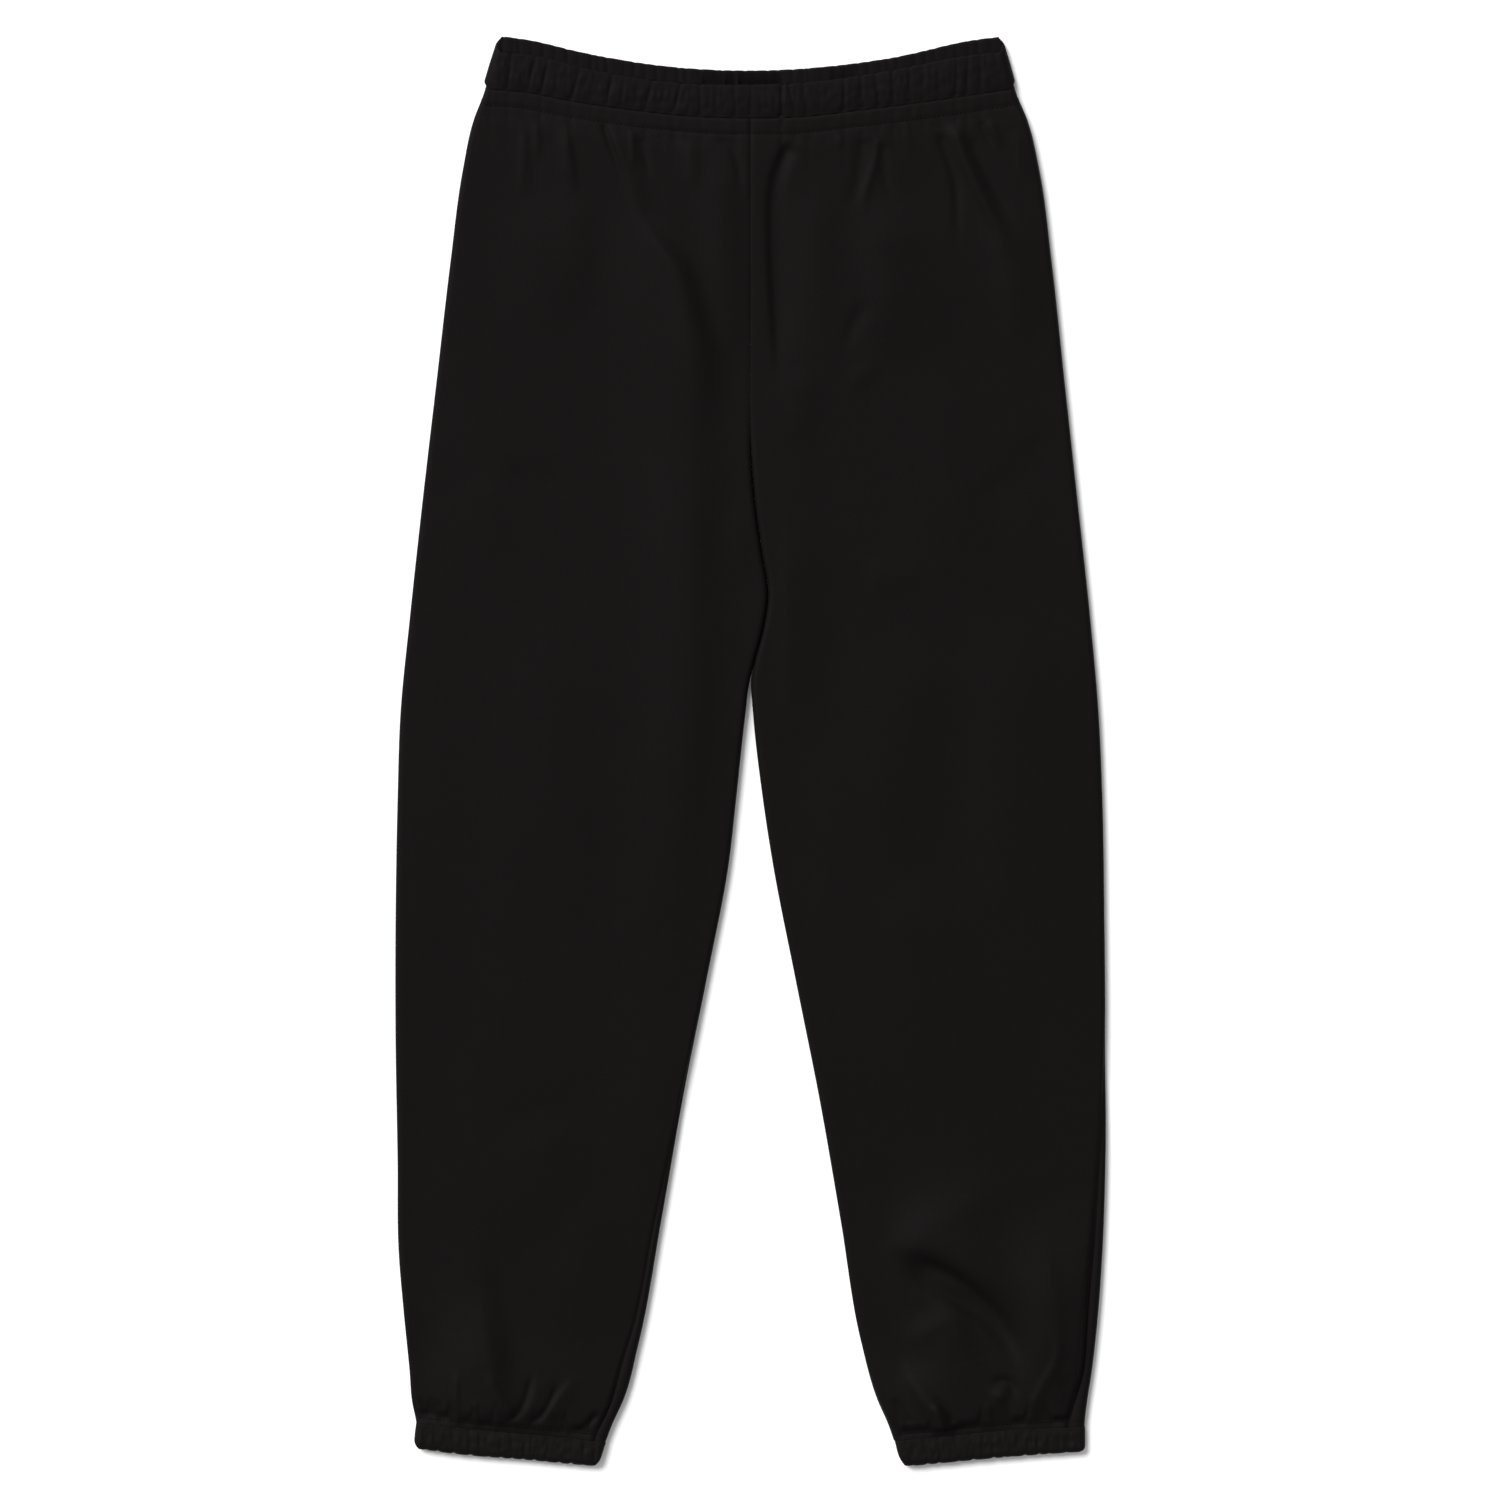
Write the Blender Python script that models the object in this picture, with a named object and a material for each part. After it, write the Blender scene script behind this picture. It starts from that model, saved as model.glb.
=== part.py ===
"""Jogger sweatpants laid flat, front up, as the seven pieces that are cut and sewn.

The waist points to +Y, the hems to -Y, and the wearer's left leg is at +X. The back panels lie
on the plane z = 0. All sizes are millimetres until a mesh is written, in metres.

A leg is a flattened tube. Its section at a height y is two flat layers that roll round at each
edge on a half circle, and the front and back panels are the two stretches of that section
between the seams. Over the crotch the inner rolls open out flat, and the two legs meet at the
centre seams. The waistband and the cuffs are rings of the same section, with gathers.
"""

import math
from typing import NamedTuple

import bpy
import numpy as np

MM = 0.001

# Driving dimensions, in mm.
CLOTH_WALL = 2.2  # brushed fleece
CASING_WALL = 2.6  # two thin layers with the elastic between them
CLOTH_ROLL = 4.0  # radius of a panel's rolled edge, half the height of the laid leg
CASING_ROLL = 4.4
HALF_GAP = 0.15  # a panel stops this far from a seam's middle
CASING_HALF_GAP = 0.3  # and a casing this far, because its many gathers bend its edge more finely
LEAST_CLEAR = 0.5  # the two layers never come nearer than this
FRONT_RISE_DROP = 12.0  # how far the front waist lies below the back waist
WAIST_STRIP = 10.0  # seam allowance stitched flat on the body, below the waistband
HEM_STRIP = 6.0  # the same on the leg, above the cuff
CENTRE_GROOVE = 1.6  # how deep the centre seams sink

FLEECE_BLACK = (0.011, 0.0098, 0.0100, 1.0)
CASING_BLACK = (0.012, 0.0105, 0.0107, 1.0)
FLEECE_ROUGHNESS = 0.92
CASING_ROUGHNESS = 0.85

QUARTER_TURN = math.pi / 2


class Sides(NamedTuple):
    """The x of both side edges at one height."""

    y: float
    right: float
    left: float


class Inners(NamedTuple):
    """The x of both inner leg edges at one height; above the fork they meet on one line."""

    y: float
    right: float
    left: float


class Mark(NamedTuple):
    """A point that a seam or an edge runs through, seen from above."""

    x: float
    y: float


class Shift(NamedTuple):
    """How far a seam has turned from its rolled edge onto the front, at one height."""

    y: float
    side_left: float
    inner_right: float


class Fold(NamedTuple):
    """A ridge, or a trough where the height is negative, along a line through three marks."""

    start: Mark
    middle: Mark
    end: Mark
    width: float
    height: float


SIDE_EDGES = (
    Sides(y=512.0, right=-195.5, left=195.0),
    Sides(y=495.0, right=-199.5, left=198.8),
    Sides(y=473.0, right=-207.8, left=207.8),
    Sides(y=435.0, right=-216.0, left=216.8),
    Sides(y=368.0, right=-225.0, left=225.8),
    Sides(y=278.0, right=-235.5, left=235.5),
    Sides(y=188.0, right=-246.0, left=245.3),
    Sides(y=98.0, right=-255.8, left=255.0),
    Sides(y=30.0, right=-262.5, left=261.0),
    Sides(y=-37.0, right=-264.8, left=264.0),
    Sides(y=-127.0, right=-266.3, left=265.5),
    Sides(y=-217.0, right=-266.3, left=266.3),
    Sides(y=-307.0, right=-264.8, left=266.3),
    Sides(y=-375.0, right=-264.0, left=264.0),
    Sides(y=-420.0, right=-260.3, left=261.0),
    Sides(y=-465.0, right=-255.0, left=255.8),
    Sides(y=-502.0, right=-249.8, left=250.5),
    Sides(y=-520.0, right=-249.0, left=250.6),
)

INNER_EDGES = (
    Inners(y=512.0, right=0.0, left=0.0),
    Inners(y=330.0, right=0.0, left=0.0),
    Inners(y=292.0, right=0.0, left=0.0),
    Inners(y=254.0, right=0.0, left=0.0),
    Inners(y=222.0, right=0.2, left=0.8),
    Inners(y=189.0, right=2.6, left=3.4),
    Inners(y=150.0, right=7.8, left=8.8),
    Inners(y=116.0, right=12.6, left=13.6),
    Inners(y=92.0, right=9.1, left=10.1),
    Inners(y=64.0, right=1.6, left=2.8),
    Inners(y=30.0, right=-3.0, left=2.3),
    Inners(y=-37.0, right=-10.5, left=9.8),
    Inners(y=-82.0, right=-15.8, left=16.5),
    Inners(y=-172.0, right=-33.0, left=33.8),
    Inners(y=-262.0, right=-51.0, left=51.8),
    Inners(y=-352.0, right=-66.8, left=67.5),
    Inners(y=-442.0, right=-83.3, left=83.3),
    Inners(y=-487.0, right=-95.3, left=96.8),
    Inners(y=-505.0, right=-103.0, left=103.6),
    Inners(y=-520.0, right=-107.0, left=108.5),
)

SEAM_SHIFTS = (
    Shift(y=520.0, side_left=0.0, inner_right=0.0),
    Shift(y=-180.0, side_left=0.0, inner_right=0.0),
    Shift(y=-264.0, side_left=3.7, inner_right=3.0),
    Shift(y=-321.0, side_left=7.2, inner_right=5.6),
    Shift(y=-369.0, side_left=9.3, inner_right=7.4),
    Shift(y=-407.0, side_left=11.0, inner_right=8.0),
    Shift(y=-436.0, side_left=10.6, inner_right=9.2),
    Shift(y=-465.0, side_left=9.8, inner_right=12.0),
    Shift(y=-499.0, side_left=13.9, inner_right=11.4),
    Shift(y=-520.0, side_left=15.0, inner_right=11.0),
)

# The opening of the inner rolls, from flat over the crotch to a full roll in the leg.
CURL_STARTS_Y = 262.0
CURL_ENDS_Y = 188.0

FRONT_WAIST_SEAM = (
    Mark(-199.0, 496.0),
    Mark(-170.0, 493.6),
    Mark(-135.0, 487.0),
    Mark(-84.0, 479.6),
    Mark(-40.0, 475.2),
    Mark(0.0, 474.2),
    Mark(40.0, 475.2),
    Mark(82.0, 480.0),
    Mark(150.0, 489.0),
    Mark(199.0, 496.4),
)

FRONT_WAIST_EDGE = (
    Mark(-190.0, 524.0),
    Mark(-160.0, 520.8),
    Mark(-119.0, 510.6),
    Mark(-64.0, 501.6),
    Mark(0.0, 499.2),
    Mark(50.0, 501.8),
    Mark(104.0, 509.8),
    Mark(176.0, 522.8),
    Mark(190.0, 523.6),
)

BACK_WAIST_EDGE = (
    Mark(-190.0, 536.0),
    Mark(-166.0, 532.9),
    Mark(-124.0, 523.2),
    Mark(-61.0, 513.4),
    Mark(0.0, 510.4),
    Mark(64.0, 514.1),
    Mark(106.0, 520.0),
    Mark(169.0, 533.2),
    Mark(190.0, 536.0),
)

WAIST_SEAM_EDGES = (-199.4, 198.8)
WAIST_TOP_EDGES = (-190.2, 190.4)

RIGHT_CUFF_SEAM = (
    Mark(-251.0, -503.5),
    Mark(-217.0, -507.4),
    Mark(-167.0, -512.0),
    Mark(-125.0, -516.0),
    Mark(-106.5, -518.5),
)
RIGHT_CUFF_EDGE = (
    Mark(-249.0, -521.6),
    Mark(-219.0, -526.9),
    Mark(-165.0, -531.4),
    Mark(-129.0, -535.1),
    Mark(-111.5, -535.9),
)
LEFT_CUFF_SEAM = (
    Mark(108.0, -517.0),
    Mark(139.5, -514.1),
    Mark(196.5, -508.6),
    Mark(229.5, -507.2),
    Mark(251.0, -506.4),
)
LEFT_CUFF_EDGE = (
    Mark(111.5, -534.6),
    Mark(123.0, -535.9),
    Mark(171.0, -531.4),
    Mark(207.0, -528.4),
    Mark(251.0, -524.8),
)

RIGHT_LEG_FOLDS = (
    Fold(Mark(-172, 474), Mark(-173, 446), Mark(-172, 416), width=6, height=2.4),
    Fold(Mark(-160, 474), Mark(-162, 456), Mark(-162, 434), width=5, height=2.0),
    Fold(Mark(-113, 470), Mark(-80, 402), Mark(-31, 262), width=13, height=5.0),
    Fold(Mark(-94, 464), Mark(-62, 396), Mark(-25, 200), width=9, height=-3.4),
    Fold(Mark(-28, 458), Mark(-15, 442), Mark(-12, 404), width=7, height=-2.8),
    Fold(Mark(-150, 470), Mark(-147, 400), Mark(-150, 300), width=22, height=2.2),
    Fold(Mark(-26, 226), Mark(-20, 150), Mark(-34, 40), width=24, height=4.5),
    Fold(Mark(-72, 190), Mark(-66, 60), Mark(-84, -90), width=34, height=2.6),
    Fold(Mark(-196, 120), Mark(-190, -20), Mark(-196, -150), width=40, height=2.2),
    Fold(Mark(-130, -60), Mark(-140, -200), Mark(-150, -330), width=38, height=2.6),
    Fold(Mark(-204, -240), Mark(-214, -330), Mark(-222, -440), width=26, height=3.4),
    Fold(Mark(-197, -350), Mark(-190, -420), Mark(-180, -484), width=10, height=-3.6),
    Fold(Mark(-112, -330), Mark(-122, -400), Mark(-126, -470), width=22, height=3.4),
    Fold(Mark(-221, -462), Mark(-221, -482), Mark(-219, -505), width=8, height=3.6),
    Fold(Mark(-240, -470), Mark(-236, -486), Mark(-232, -505), width=7, height=3.0),
    Fold(Mark(-166, -474), Mark(-171, -492), Mark(-186, -505), width=6, height=-4.0),
    Fold(Mark(-148, -478), Mark(-153, -494), Mark(-163, -504), width=6, height=-3.4),
    Fold(Mark(-134, -466), Mark(-144, -486), Mark(-154, -502), width=7, height=3.4),
)

LEFT_LEG_FOLDS = (
    Fold(Mark(26, 456), Mark(14, 418), Mark(17, 282), width=8, height=-4.2),
    Fold(Mark(32, 462), Mark(27, 420), Mark(36, 316), width=11, height=3.6),
    Fold(Mark(94, 456), Mark(86, 430), Mark(84, 404), width=9, height=3.2),
    Fold(Mark(80, 440), Mark(74, 420), Mark(66, 398), width=8, height=-2.4),
    Fold(Mark(95, 458), Mark(98, 430), Mark(103, 402), width=7, height=-2.4),
    Fold(Mark(90, 340), Mark(75, 320), Mark(68, 298), width=13, height=-3.2),
    Fold(Mark(152, 468), Mark(166, 410), Mark(194, 298), width=11, height=4.6),
    Fold(Mark(155, 476), Mark(172, 430), Mark(192, 396), width=8, height=-2.8),
    Fold(Mark(145, 446), Mark(151, 418), Mark(155, 370), width=9, height=-2.8),
    Fold(Mark(180, 470), Mark(186, 462), Mark(192, 452), width=6, height=2.0),
    Fold(Mark(40, 226), Mark(38, 150), Mark(40, 40), width=24, height=4.5),
    Fold(Mark(84, 180), Mark(80, 40), Mark(92, -90), width=34, height=2.6),
    Fold(Mark(200, 120), Mark(192, -20), Mark(198, -150), width=40, height=2.2),
    Fold(Mark(136, -60), Mark(142, -190), Mark(150, -290), width=38, height=2.6),
    Fold(Mark(112, -340), Mark(152, -346), Mark(192, -340), width=26, height=4.6),
    Fold(Mark(112, -372), Mark(148, -396), Mark(192, -426), width=12, height=-4.6),
    Fold(Mark(160, -376), Mark(206, -406), Mark(227, -446), width=12, height=4.4),
    Fold(Mark(120, -418), Mark(146, -412), Mark(172, -412), width=14, height=3.2),
    Fold(Mark(176, -470), Mark(189, -474), Mark(202, -472), width=12, height=-3.2),
    Fold(Mark(118, -460), Mark(126, -482), Mark(142, -504), width=7, height=3.6),
    Fold(Mark(150, -470), Mark(160, -488), Mark(166, -504), width=8, height=3.2),
    Fold(Mark(213, -480), Mark(211, -492), Mark(208, -505), width=8, height=3.4),
    Fold(Mark(236, -466), Mark(234, -486), Mark(230, -505), width=7, height=3.0),
)

# How the hem's gathers swell over the stitched strip, above the cuff.
HEM_SWELL_HEIGHT = 5.0
HEM_SWELL_LENGTH = 70.0
HEM_SWELL_RISE = 5.0
WAIST_SWELL_HEIGHT = 1.2
WAIST_SWELL_LENGTH = 60.0

# Rows down a panel: distances from the waist seam, then from the cuff seam. All four panels share
# them, so that they stay apart along their seams.
ROWS_TO_CROTCH = (0, 5, 10, 14, 24, 38, 56, 80, 110, 144, 180, 216, 250, 284, 306)
ROWS_TO_FORK = (326, 346, 364, 382, 402, 422, 446)
ROWS_FROM_HEM = (524, 470, 410, 348, 290, 236, 188, 148, 112, 82, 56, 36, 22, 12, 6, 0)
FRONT_CELLS = 15  # cells over the flat of a front panel, between its rolls
BACK_CELLS = 5
ROLL_CELLS = 3
SEAM_PASSES = 3  # how often a panel's rows are fitted to its two end seams

# Gathers: how many lie on each side of a ring, and how many columns each is made of.
WAIST_FRONT_GATHERS = 33
WAIST_BACK_GATHERS = 34
CUFF_FRONT_GATHERS = 14
CUFF_BACK_GATHERS = 9
GATHER_COLUMNS = (0.0, 0.26, 0.52, 0.78)
BACK_GATHER_COLUMNS = (0.0, 0.5)
WAIST_GATHER_HEIGHT = 2.0
CUFF_GATHER_HEIGHT = 1.7
BACK_GATHER_HEIGHT = 0.9
GATHER_UNEVENNESS = 0.26
EDGE_SCALLOP = 0.9
BAND_ROWS = (0.0, 0.16, 0.6, 1.0)
RIM_INSET = 0.7
RING_ROLL_CELLS = 6

FRONT = 1
BACK = -1


def smooth_curve(at, knots, values):
    """A cubic through the knots with slopes from the neighbours, as a smooth seam is drawn."""
    knots = np.asarray(knots, float)
    values = np.asarray(values, float)
    if knots[0] > knots[-1]:
        knots = knots[::-1]
        values = values[::-1]
    at = np.clip(at, knots[0], knots[-1])
    slopes = np.gradient(values, knots)
    cell = np.clip(np.searchsorted(knots, at, side="right") - 1, 0, len(knots) - 2)
    span = knots[cell + 1] - knots[cell]
    t = (at - knots[cell]) / span
    start = (1 + 2 * t) * (1 - t) ** 2
    start_slope = t * (1 - t) ** 2
    end = t**2 * (3 - 2 * t)
    end_slope = t**2 * (t - 1)
    return (
        start * values[cell]
        + start_slope * span * slopes[cell]
        + end * values[cell + 1]
        + end_slope * span * slopes[cell + 1]
    )


def smooth_step(t):
    """Rises from 0 to 1 as t does, with level ends."""
    t = np.clip(t, 0.0, 1.0)
    return t * t * (3 - 2 * t)


def through_marks(x, marks):
    """The y of a seam or an edge at x."""
    return smooth_curve(x, [mark.x for mark in marks], [mark.y for mark in marks])


def down_table(y, table, column):
    """One column of a table of heights, at y."""
    return smooth_curve(y, [row.y for row in table], [getattr(row, column) for row in table])


def fold_field(x, y, folds):
    """The height that the folds add: each is a soft bump that fades towards both its ends."""
    total = np.zeros_like(x)
    t = np.linspace(0.0, 1.0, 25)
    fade = np.sin(math.pi * t) ** 0.6
    for fold in folds:
        pull = 2 * np.array(fold.middle) - (np.array(fold.start) + np.array(fold.end)) / 2
        line_x = (1 - t) ** 2 * fold.start.x + 2 * t * (1 - t) * pull[0] + t**2 * fold.end.x
        line_y = (1 - t) ** 2 * fold.start.y + 2 * t * (1 - t) * pull[1] + t**2 * fold.end.y
        far = (x[..., None] - line_x) ** 2 + (y[..., None] - line_y) ** 2
        total += fold.height * (fade * np.exp(-far / fold.width**2)).max(axis=-1)
    return total


def roll_section(p, radius, inset):
    """The distance in from the edge, and the height, of a rolled edge's surface.

    p runs along the surface from the roll's middle: up onto the front where it is positive, and
    down onto the back where it is negative. inset is 0 outside the wall and the wall's thickness
    inside it.
    """
    quarter = QUARTER_TURN * radius
    angle = np.clip(p / radius, -QUARTER_TURN, QUARTER_TURN)
    past_roll = np.maximum(np.abs(p) - quarter, 0.0)
    inward = radius - (radius - inset) * np.cos(angle) + past_roll
    return inward, radius + (radius - inset) * np.sin(angle)


def flat_section(p, radius, inset, facing):
    """The same for an edge that isn't rolled: the layer runs flat to a centre seam."""
    quarter = QUARTER_TURN * radius
    near = np.clip(np.abs(p) / quarter, 0.0, 1.0)
    inward = radius * near + np.maximum(np.abs(p) - quarter, 0.0)
    if facing == FRONT:
        return inward, 2 * radius - inset - CENTRE_GROOVE * (1 - near) ** 2
    return inward, np.full_like(inward, inset)


def edge_stations(shift, facing, inset):
    """Positions along the surface from a seam to the end of its roll, in even steps.

    shift is how far the seam has turned onto the front. The front's stations start just past the
    seam and the back's just before it, further on the wall's inside, where the roll is tighter.
    """
    steps = np.linspace(0.0, 1.0, ROLL_CELLS + 1)
    quarter = QUARTER_TURN * CLOTH_ROLL
    half_gap = HALF_GAP * CLOTH_ROLL / (CLOTH_ROLL - inset)
    if facing == FRONT:
        first = shift + half_gap
        return first[..., None] + (quarter - half_gap) * steps
    first = shift - half_gap
    return first[..., None] + (-quarter - first)[..., None] * steps


def waist_seam_y(x, facing):
    """Where the body meets the waistband; the back's seam lies higher than the front's."""
    if facing == FRONT:
        return through_marks(x, FRONT_WAIST_SEAM)
    return through_marks(x, FRONT_WAIST_SEAM) + FRONT_RISE_DROP


def panel_rows():
    """Row places from 0 at the waist seam to 1 at the cuff seam."""
    length = FRONT_WAIST_SEAM[0].y - RIGHT_CUFF_SEAM[2].y
    from_hem = length - np.array(ROWS_FROM_HEM, float)
    return np.concatenate([ROWS_TO_CROTCH, ROWS_TO_FORK, from_hem]) / length


def leg_section(y, leg, facing, inset):
    """The x and z of a panel's surface at the heights y, as rows of columns.

    Columns run from the side seam, over the side roll, the flat and the inner roll, to the inner
    seam. The inner roll opens out flat over the crotch.
    """
    inward = -1.0 if leg == "left" else 1.0
    side_shift = np.zeros(len(y))
    inner_shift = np.zeros(len(y))
    if leg == "left":
        side_shift = np.maximum(down_table(y[:, 0], SEAM_SHIFTS, "side_left"), 0.0)
    else:
        inner_shift = np.maximum(down_table(y[:, -1], SEAM_SHIFTS, "inner_right"), 0.0)
    side_p = edge_stations(side_shift, facing, inset)
    inner_p = edge_stations(inner_shift, facing, inset)[:, ::-1]
    curl = smooth_step((CURL_STARTS_Y - y[:, -1:]) / (CURL_STARTS_Y - CURL_ENDS_Y))

    side_in, side_z = roll_section(side_p, CLOTH_ROLL, inset)
    roll_in, roll_z = roll_section(inner_p, CLOTH_ROLL, inset)
    flat_in, flat_z = flat_section(inner_p, CLOTH_ROLL, inset, facing)
    inner_in = curl * roll_in + (1 - curl) * flat_in + HALF_GAP
    inner_z = curl * roll_z + (1 - curl) * flat_z

    side_x = down_table(y[:, : ROLL_CELLS + 1], SIDE_EDGES, leg) + inward * side_in
    inner_x = down_table(y[:, -ROLL_CELLS - 1 :], INNER_EDGES, leg) - inward * inner_in
    steps = np.linspace(0.0, 1.0, flat_cells(facing) + 1)[1:-1]
    flat_x = side_x[:, -1:] + (inner_x[:, :1] - side_x[:, -1:]) * steps
    level = 2 * CLOTH_ROLL - inset if facing == FRONT else inset
    x = np.concatenate([side_x, flat_x, inner_x], axis=1)
    z = np.concatenate([side_z, np.full_like(flat_x, level), inner_z], axis=1)
    return x, z


def flat_cells(facing):
    """How many cells lie across the flat of a panel."""
    return FRONT_CELLS if facing == FRONT else BACK_CELLS


def leg_panel(leg, facing):
    """The outer and inner points of one leg panel, as rows of columns.

    A row's height depends on where its column meets the two end seams, and the section depends
    on the height, so the rows are placed twice.
    """
    cuff_seam = LEFT_CUFF_SEAM if leg == "left" else RIGHT_CUFF_SEAM
    columns = flat_cells(facing) + 2 * ROLL_CELLS + 1
    # Round the side roll the seam climbs evenly from the front's line to the back's.
    climb = np.zeros(columns)
    climb[: ROLL_CELLS + 1] = np.linspace(0.5, 0.0, ROLL_CELLS + 1) * FRONT_RISE_DROP * facing
    rows = panel_rows()[:, None]
    top = np.full(columns, FRONT_WAIST_SEAM[0].y)
    bottom = np.full(columns, cuff_seam[2].y)
    for _ in range(SEAM_PASSES):
        y = top + (bottom - top) * rows
        x = leg_section(y, leg, facing, 0.0)[0]
        top = waist_seam_y(x[0], facing) + climb - HALF_GAP
        bottom = through_marks(x[-1], cuff_seam) + HALF_GAP
    y = top + (bottom - top) * rows
    outer_x, outer_z = leg_section(y, leg, facing, 0.0)
    inner_x, inner_z = leg_section(y, leg, facing, CLOTH_WALL)
    lift = top_lift(outer_x, y, outer_z, leg, top, bottom)
    outer = np.stack([outer_x, y, outer_z + lift], axis=-1)
    inner = np.stack([inner_x, y, inner_z + lift], axis=-1)
    return outer, inner


def top_lift(x, y, z, leg, top, bottom):
    """How far the front layer stands up from its plain height: folds, and gathers at each end."""
    folds = LEFT_LEG_FOLDS if leg == "left" else RIGHT_LEG_FOLDS
    from_waist = top - y - WAIST_STRIP
    from_hem = y - bottom - HEM_STRIP
    free = smooth_step(from_waist / WAIST_STRIP) * smooth_step(from_hem / HEM_STRIP)
    waist = WAIST_SWELL_HEIGHT * smooth_step(1 - from_waist / WAIST_SWELL_LENGTH)
    hem = HEM_SWELL_HEIGHT * smooth_step(1 - from_hem / HEM_SWELL_LENGTH)
    hem = hem * smooth_step(from_hem / HEM_SWELL_RISE)
    lift = free * (fold_field(x, y, folds) + waist + hem)
    deepest = 2 * (CLOTH_ROLL - CLOTH_WALL) - LEAST_CLEAR
    lift = np.where(lift < 0, -deepest * np.tanh(-lift / deepest), lift)
    on_top = np.clip((z - CLOTH_ROLL) / CLOTH_ROLL, 0.0, 1.0)
    return lift * on_top**2


def gather_places(count, columns):
    """Where a ring's columns lie across it, from 0 to 1, and where each lies in its gather.

    The gathers' widths vary in a fixed uneven rhythm, and every valley has a column of its own.
    """
    index = np.arange(count)
    rhythm = np.sin(2.4 * index + 0.7) + 0.6 * np.sin(5.3 * index)
    widths = 1 + GATHER_UNEVENNESS * rhythm
    starts = np.concatenate([[0.0], np.cumsum(widths)]) / widths.sum()
    phase = np.tile(columns, count)
    width = np.repeat(np.diff(starts), len(columns))
    share = np.repeat(starts[:-1], len(columns)) + phase * width
    return np.append(share, 1.0), np.append(phase, 0.0)


def puff(phase):
    """The round top of a gather, and the narrow valley between two."""
    return np.sin(math.pi * phase) ** 0.8


def ring_columns(front_gathers, back_gathers):
    """Every column of a ring: its share across, its angle round the roll, and its puffs.

    They run over the front, round the far edge, back below and round the near edge.
    """
    share_f, phase_f = gather_places(front_gathers, GATHER_COLUMNS)
    share_b, phase_b = gather_places(back_gathers, BACK_GATHER_COLUMNS)
    turn = np.linspace(QUARTER_TURN, -QUARTER_TURN, RING_ROLL_CELLS + 1)[1:-1]
    still = np.zeros_like(turn)
    share = np.concatenate([share_f, still + 1, 1 - share_b, still])
    angle = np.concatenate(
        [np.full_like(share_f, QUARTER_TURN), turn, np.full_like(share_b, -QUARTER_TURN), -turn]
    )
    front_puff = np.concatenate([puff(phase_f), still, 0 * phase_b, still])
    back_puff = np.concatenate([0 * phase_f, still, puff(phase_b), still])
    return share, angle, front_puff, back_puff


class Ring(NamedTuple):
    """A gathered casing: its two edges as marks, front and back, and its ends at each edge."""

    seam: tuple
    edge: tuple
    back_edge: tuple
    seam_ends: tuple
    edge_ends: tuple
    back_rise: float
    gather_height: float
    front_gathers: int
    back_gathers: int


def ring_points(ring):
    """The outer and inner points of a casing, as rows of columns; each row closes on itself."""
    share, angle, front_puff, back_puff = ring_columns(ring.front_gathers, ring.back_gathers)
    frontness = (angle / QUARTER_TURN + 1) / 2
    outward = np.where(share > 0.5, 1.0, -1.0) * np.cos(angle)
    rows = np.array(BAND_ROWS)[:, None]
    near = ring.seam_ends[0] + (ring.edge_ends[0] - ring.seam_ends[0]) * rows
    far = ring.seam_ends[1] + (ring.edge_ends[1] - ring.seam_ends[1]) * rows
    across = near + CASING_ROLL + (far - near - 2 * CASING_ROLL) * share
    seam_x, edge_x = (across + CASING_ROLL * outward)[[0, -1]]

    towards_edge = np.sign(ring.edge[0].y - ring.seam[0].y)
    seam_y = through_marks(seam_x, ring.seam) + ring.back_rise * (1 - frontness)
    seam_y = seam_y + towards_edge * CASING_HALF_GAP
    front_y = through_marks(edge_x, ring.edge)
    edge_y = front_y + (through_marks(edge_x, ring.back_edge) - front_y) * (1 - frontness)
    edge_y = edge_y + towards_edge * EDGE_SCALLOP * (front_puff + back_puff - 0.5)
    y = seam_y + (edge_y - seam_y) * rows

    bulge = np.sin(math.pi * rows) ** 0.5
    front_lift = ring.gather_height * (0.35 + 0.65 * bulge) * front_puff
    is_rim = rows == BAND_ROWS[-1]
    points = []
    for inset, rim_inset, lift in (
        (0.0, RIM_INSET, front_lift),
        (CASING_WALL, -RIM_INSET, BACK_GATHER_HEIGHT * back_puff),
    ):
        reach = CASING_ROLL - inset - np.where(is_rim, rim_inset, 0.0)
        x = across + reach * outward
        z = CASING_ROLL + reach * np.sin(angle) + lift
        points.append(np.stack([x, y, z], axis=-1))
    return points


def shell_mesh(name, outer, inner, closed):
    """A wall between two equal grids of points, with its borders closed, in metres."""
    rows, columns = outer.shape[:2]
    index = np.arange(rows * columns).reshape(rows, columns)
    if closed:
        index = np.concatenate([index, index[:, :1]], axis=1)
    under = index + rows * columns

    def quads(a, b, c, d):
        return np.stack([a.ravel(), b.ravel(), c.ravel(), d.ravel()], axis=-1)

    faces = [
        quads(index[:-1, :-1], index[1:, :-1], index[1:, 1:], index[:-1, 1:]),
        quads(under[:-1, :-1], under[:-1, 1:], under[1:, 1:], under[1:, :-1]),
        quads(index[0, :-1], index[0, 1:], under[0, 1:], under[0, :-1]),
        quads(index[-1, :-1], under[-1, :-1], under[-1, 1:], index[-1, 1:]),
    ]
    if not closed:
        faces.append(quads(index[:-1, 0], under[:-1, 0], under[1:, 0], index[1:, 0]))
        faces.append(quads(index[:-1, -1], index[1:, -1], under[1:, -1], under[:-1, -1]))
    faces = np.concatenate(faces)
    points = np.concatenate([outer.reshape(-1, 3), inner.reshape(-1, 3)]) * MM
    if signed_volume(points, faces) < 0:
        # Turned round, each face keeps the diagonal that its neighbour across a seam has.
        faces = faces[:, [0, 3, 2, 1]]
    mesh = bpy.data.meshes.new(name)
    mesh.from_pydata(points.tolist(), [], faces.tolist())
    mesh.shade_smooth()
    mesh.set_sharp_from_angle(angle=math.radians(40))
    return mesh


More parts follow.
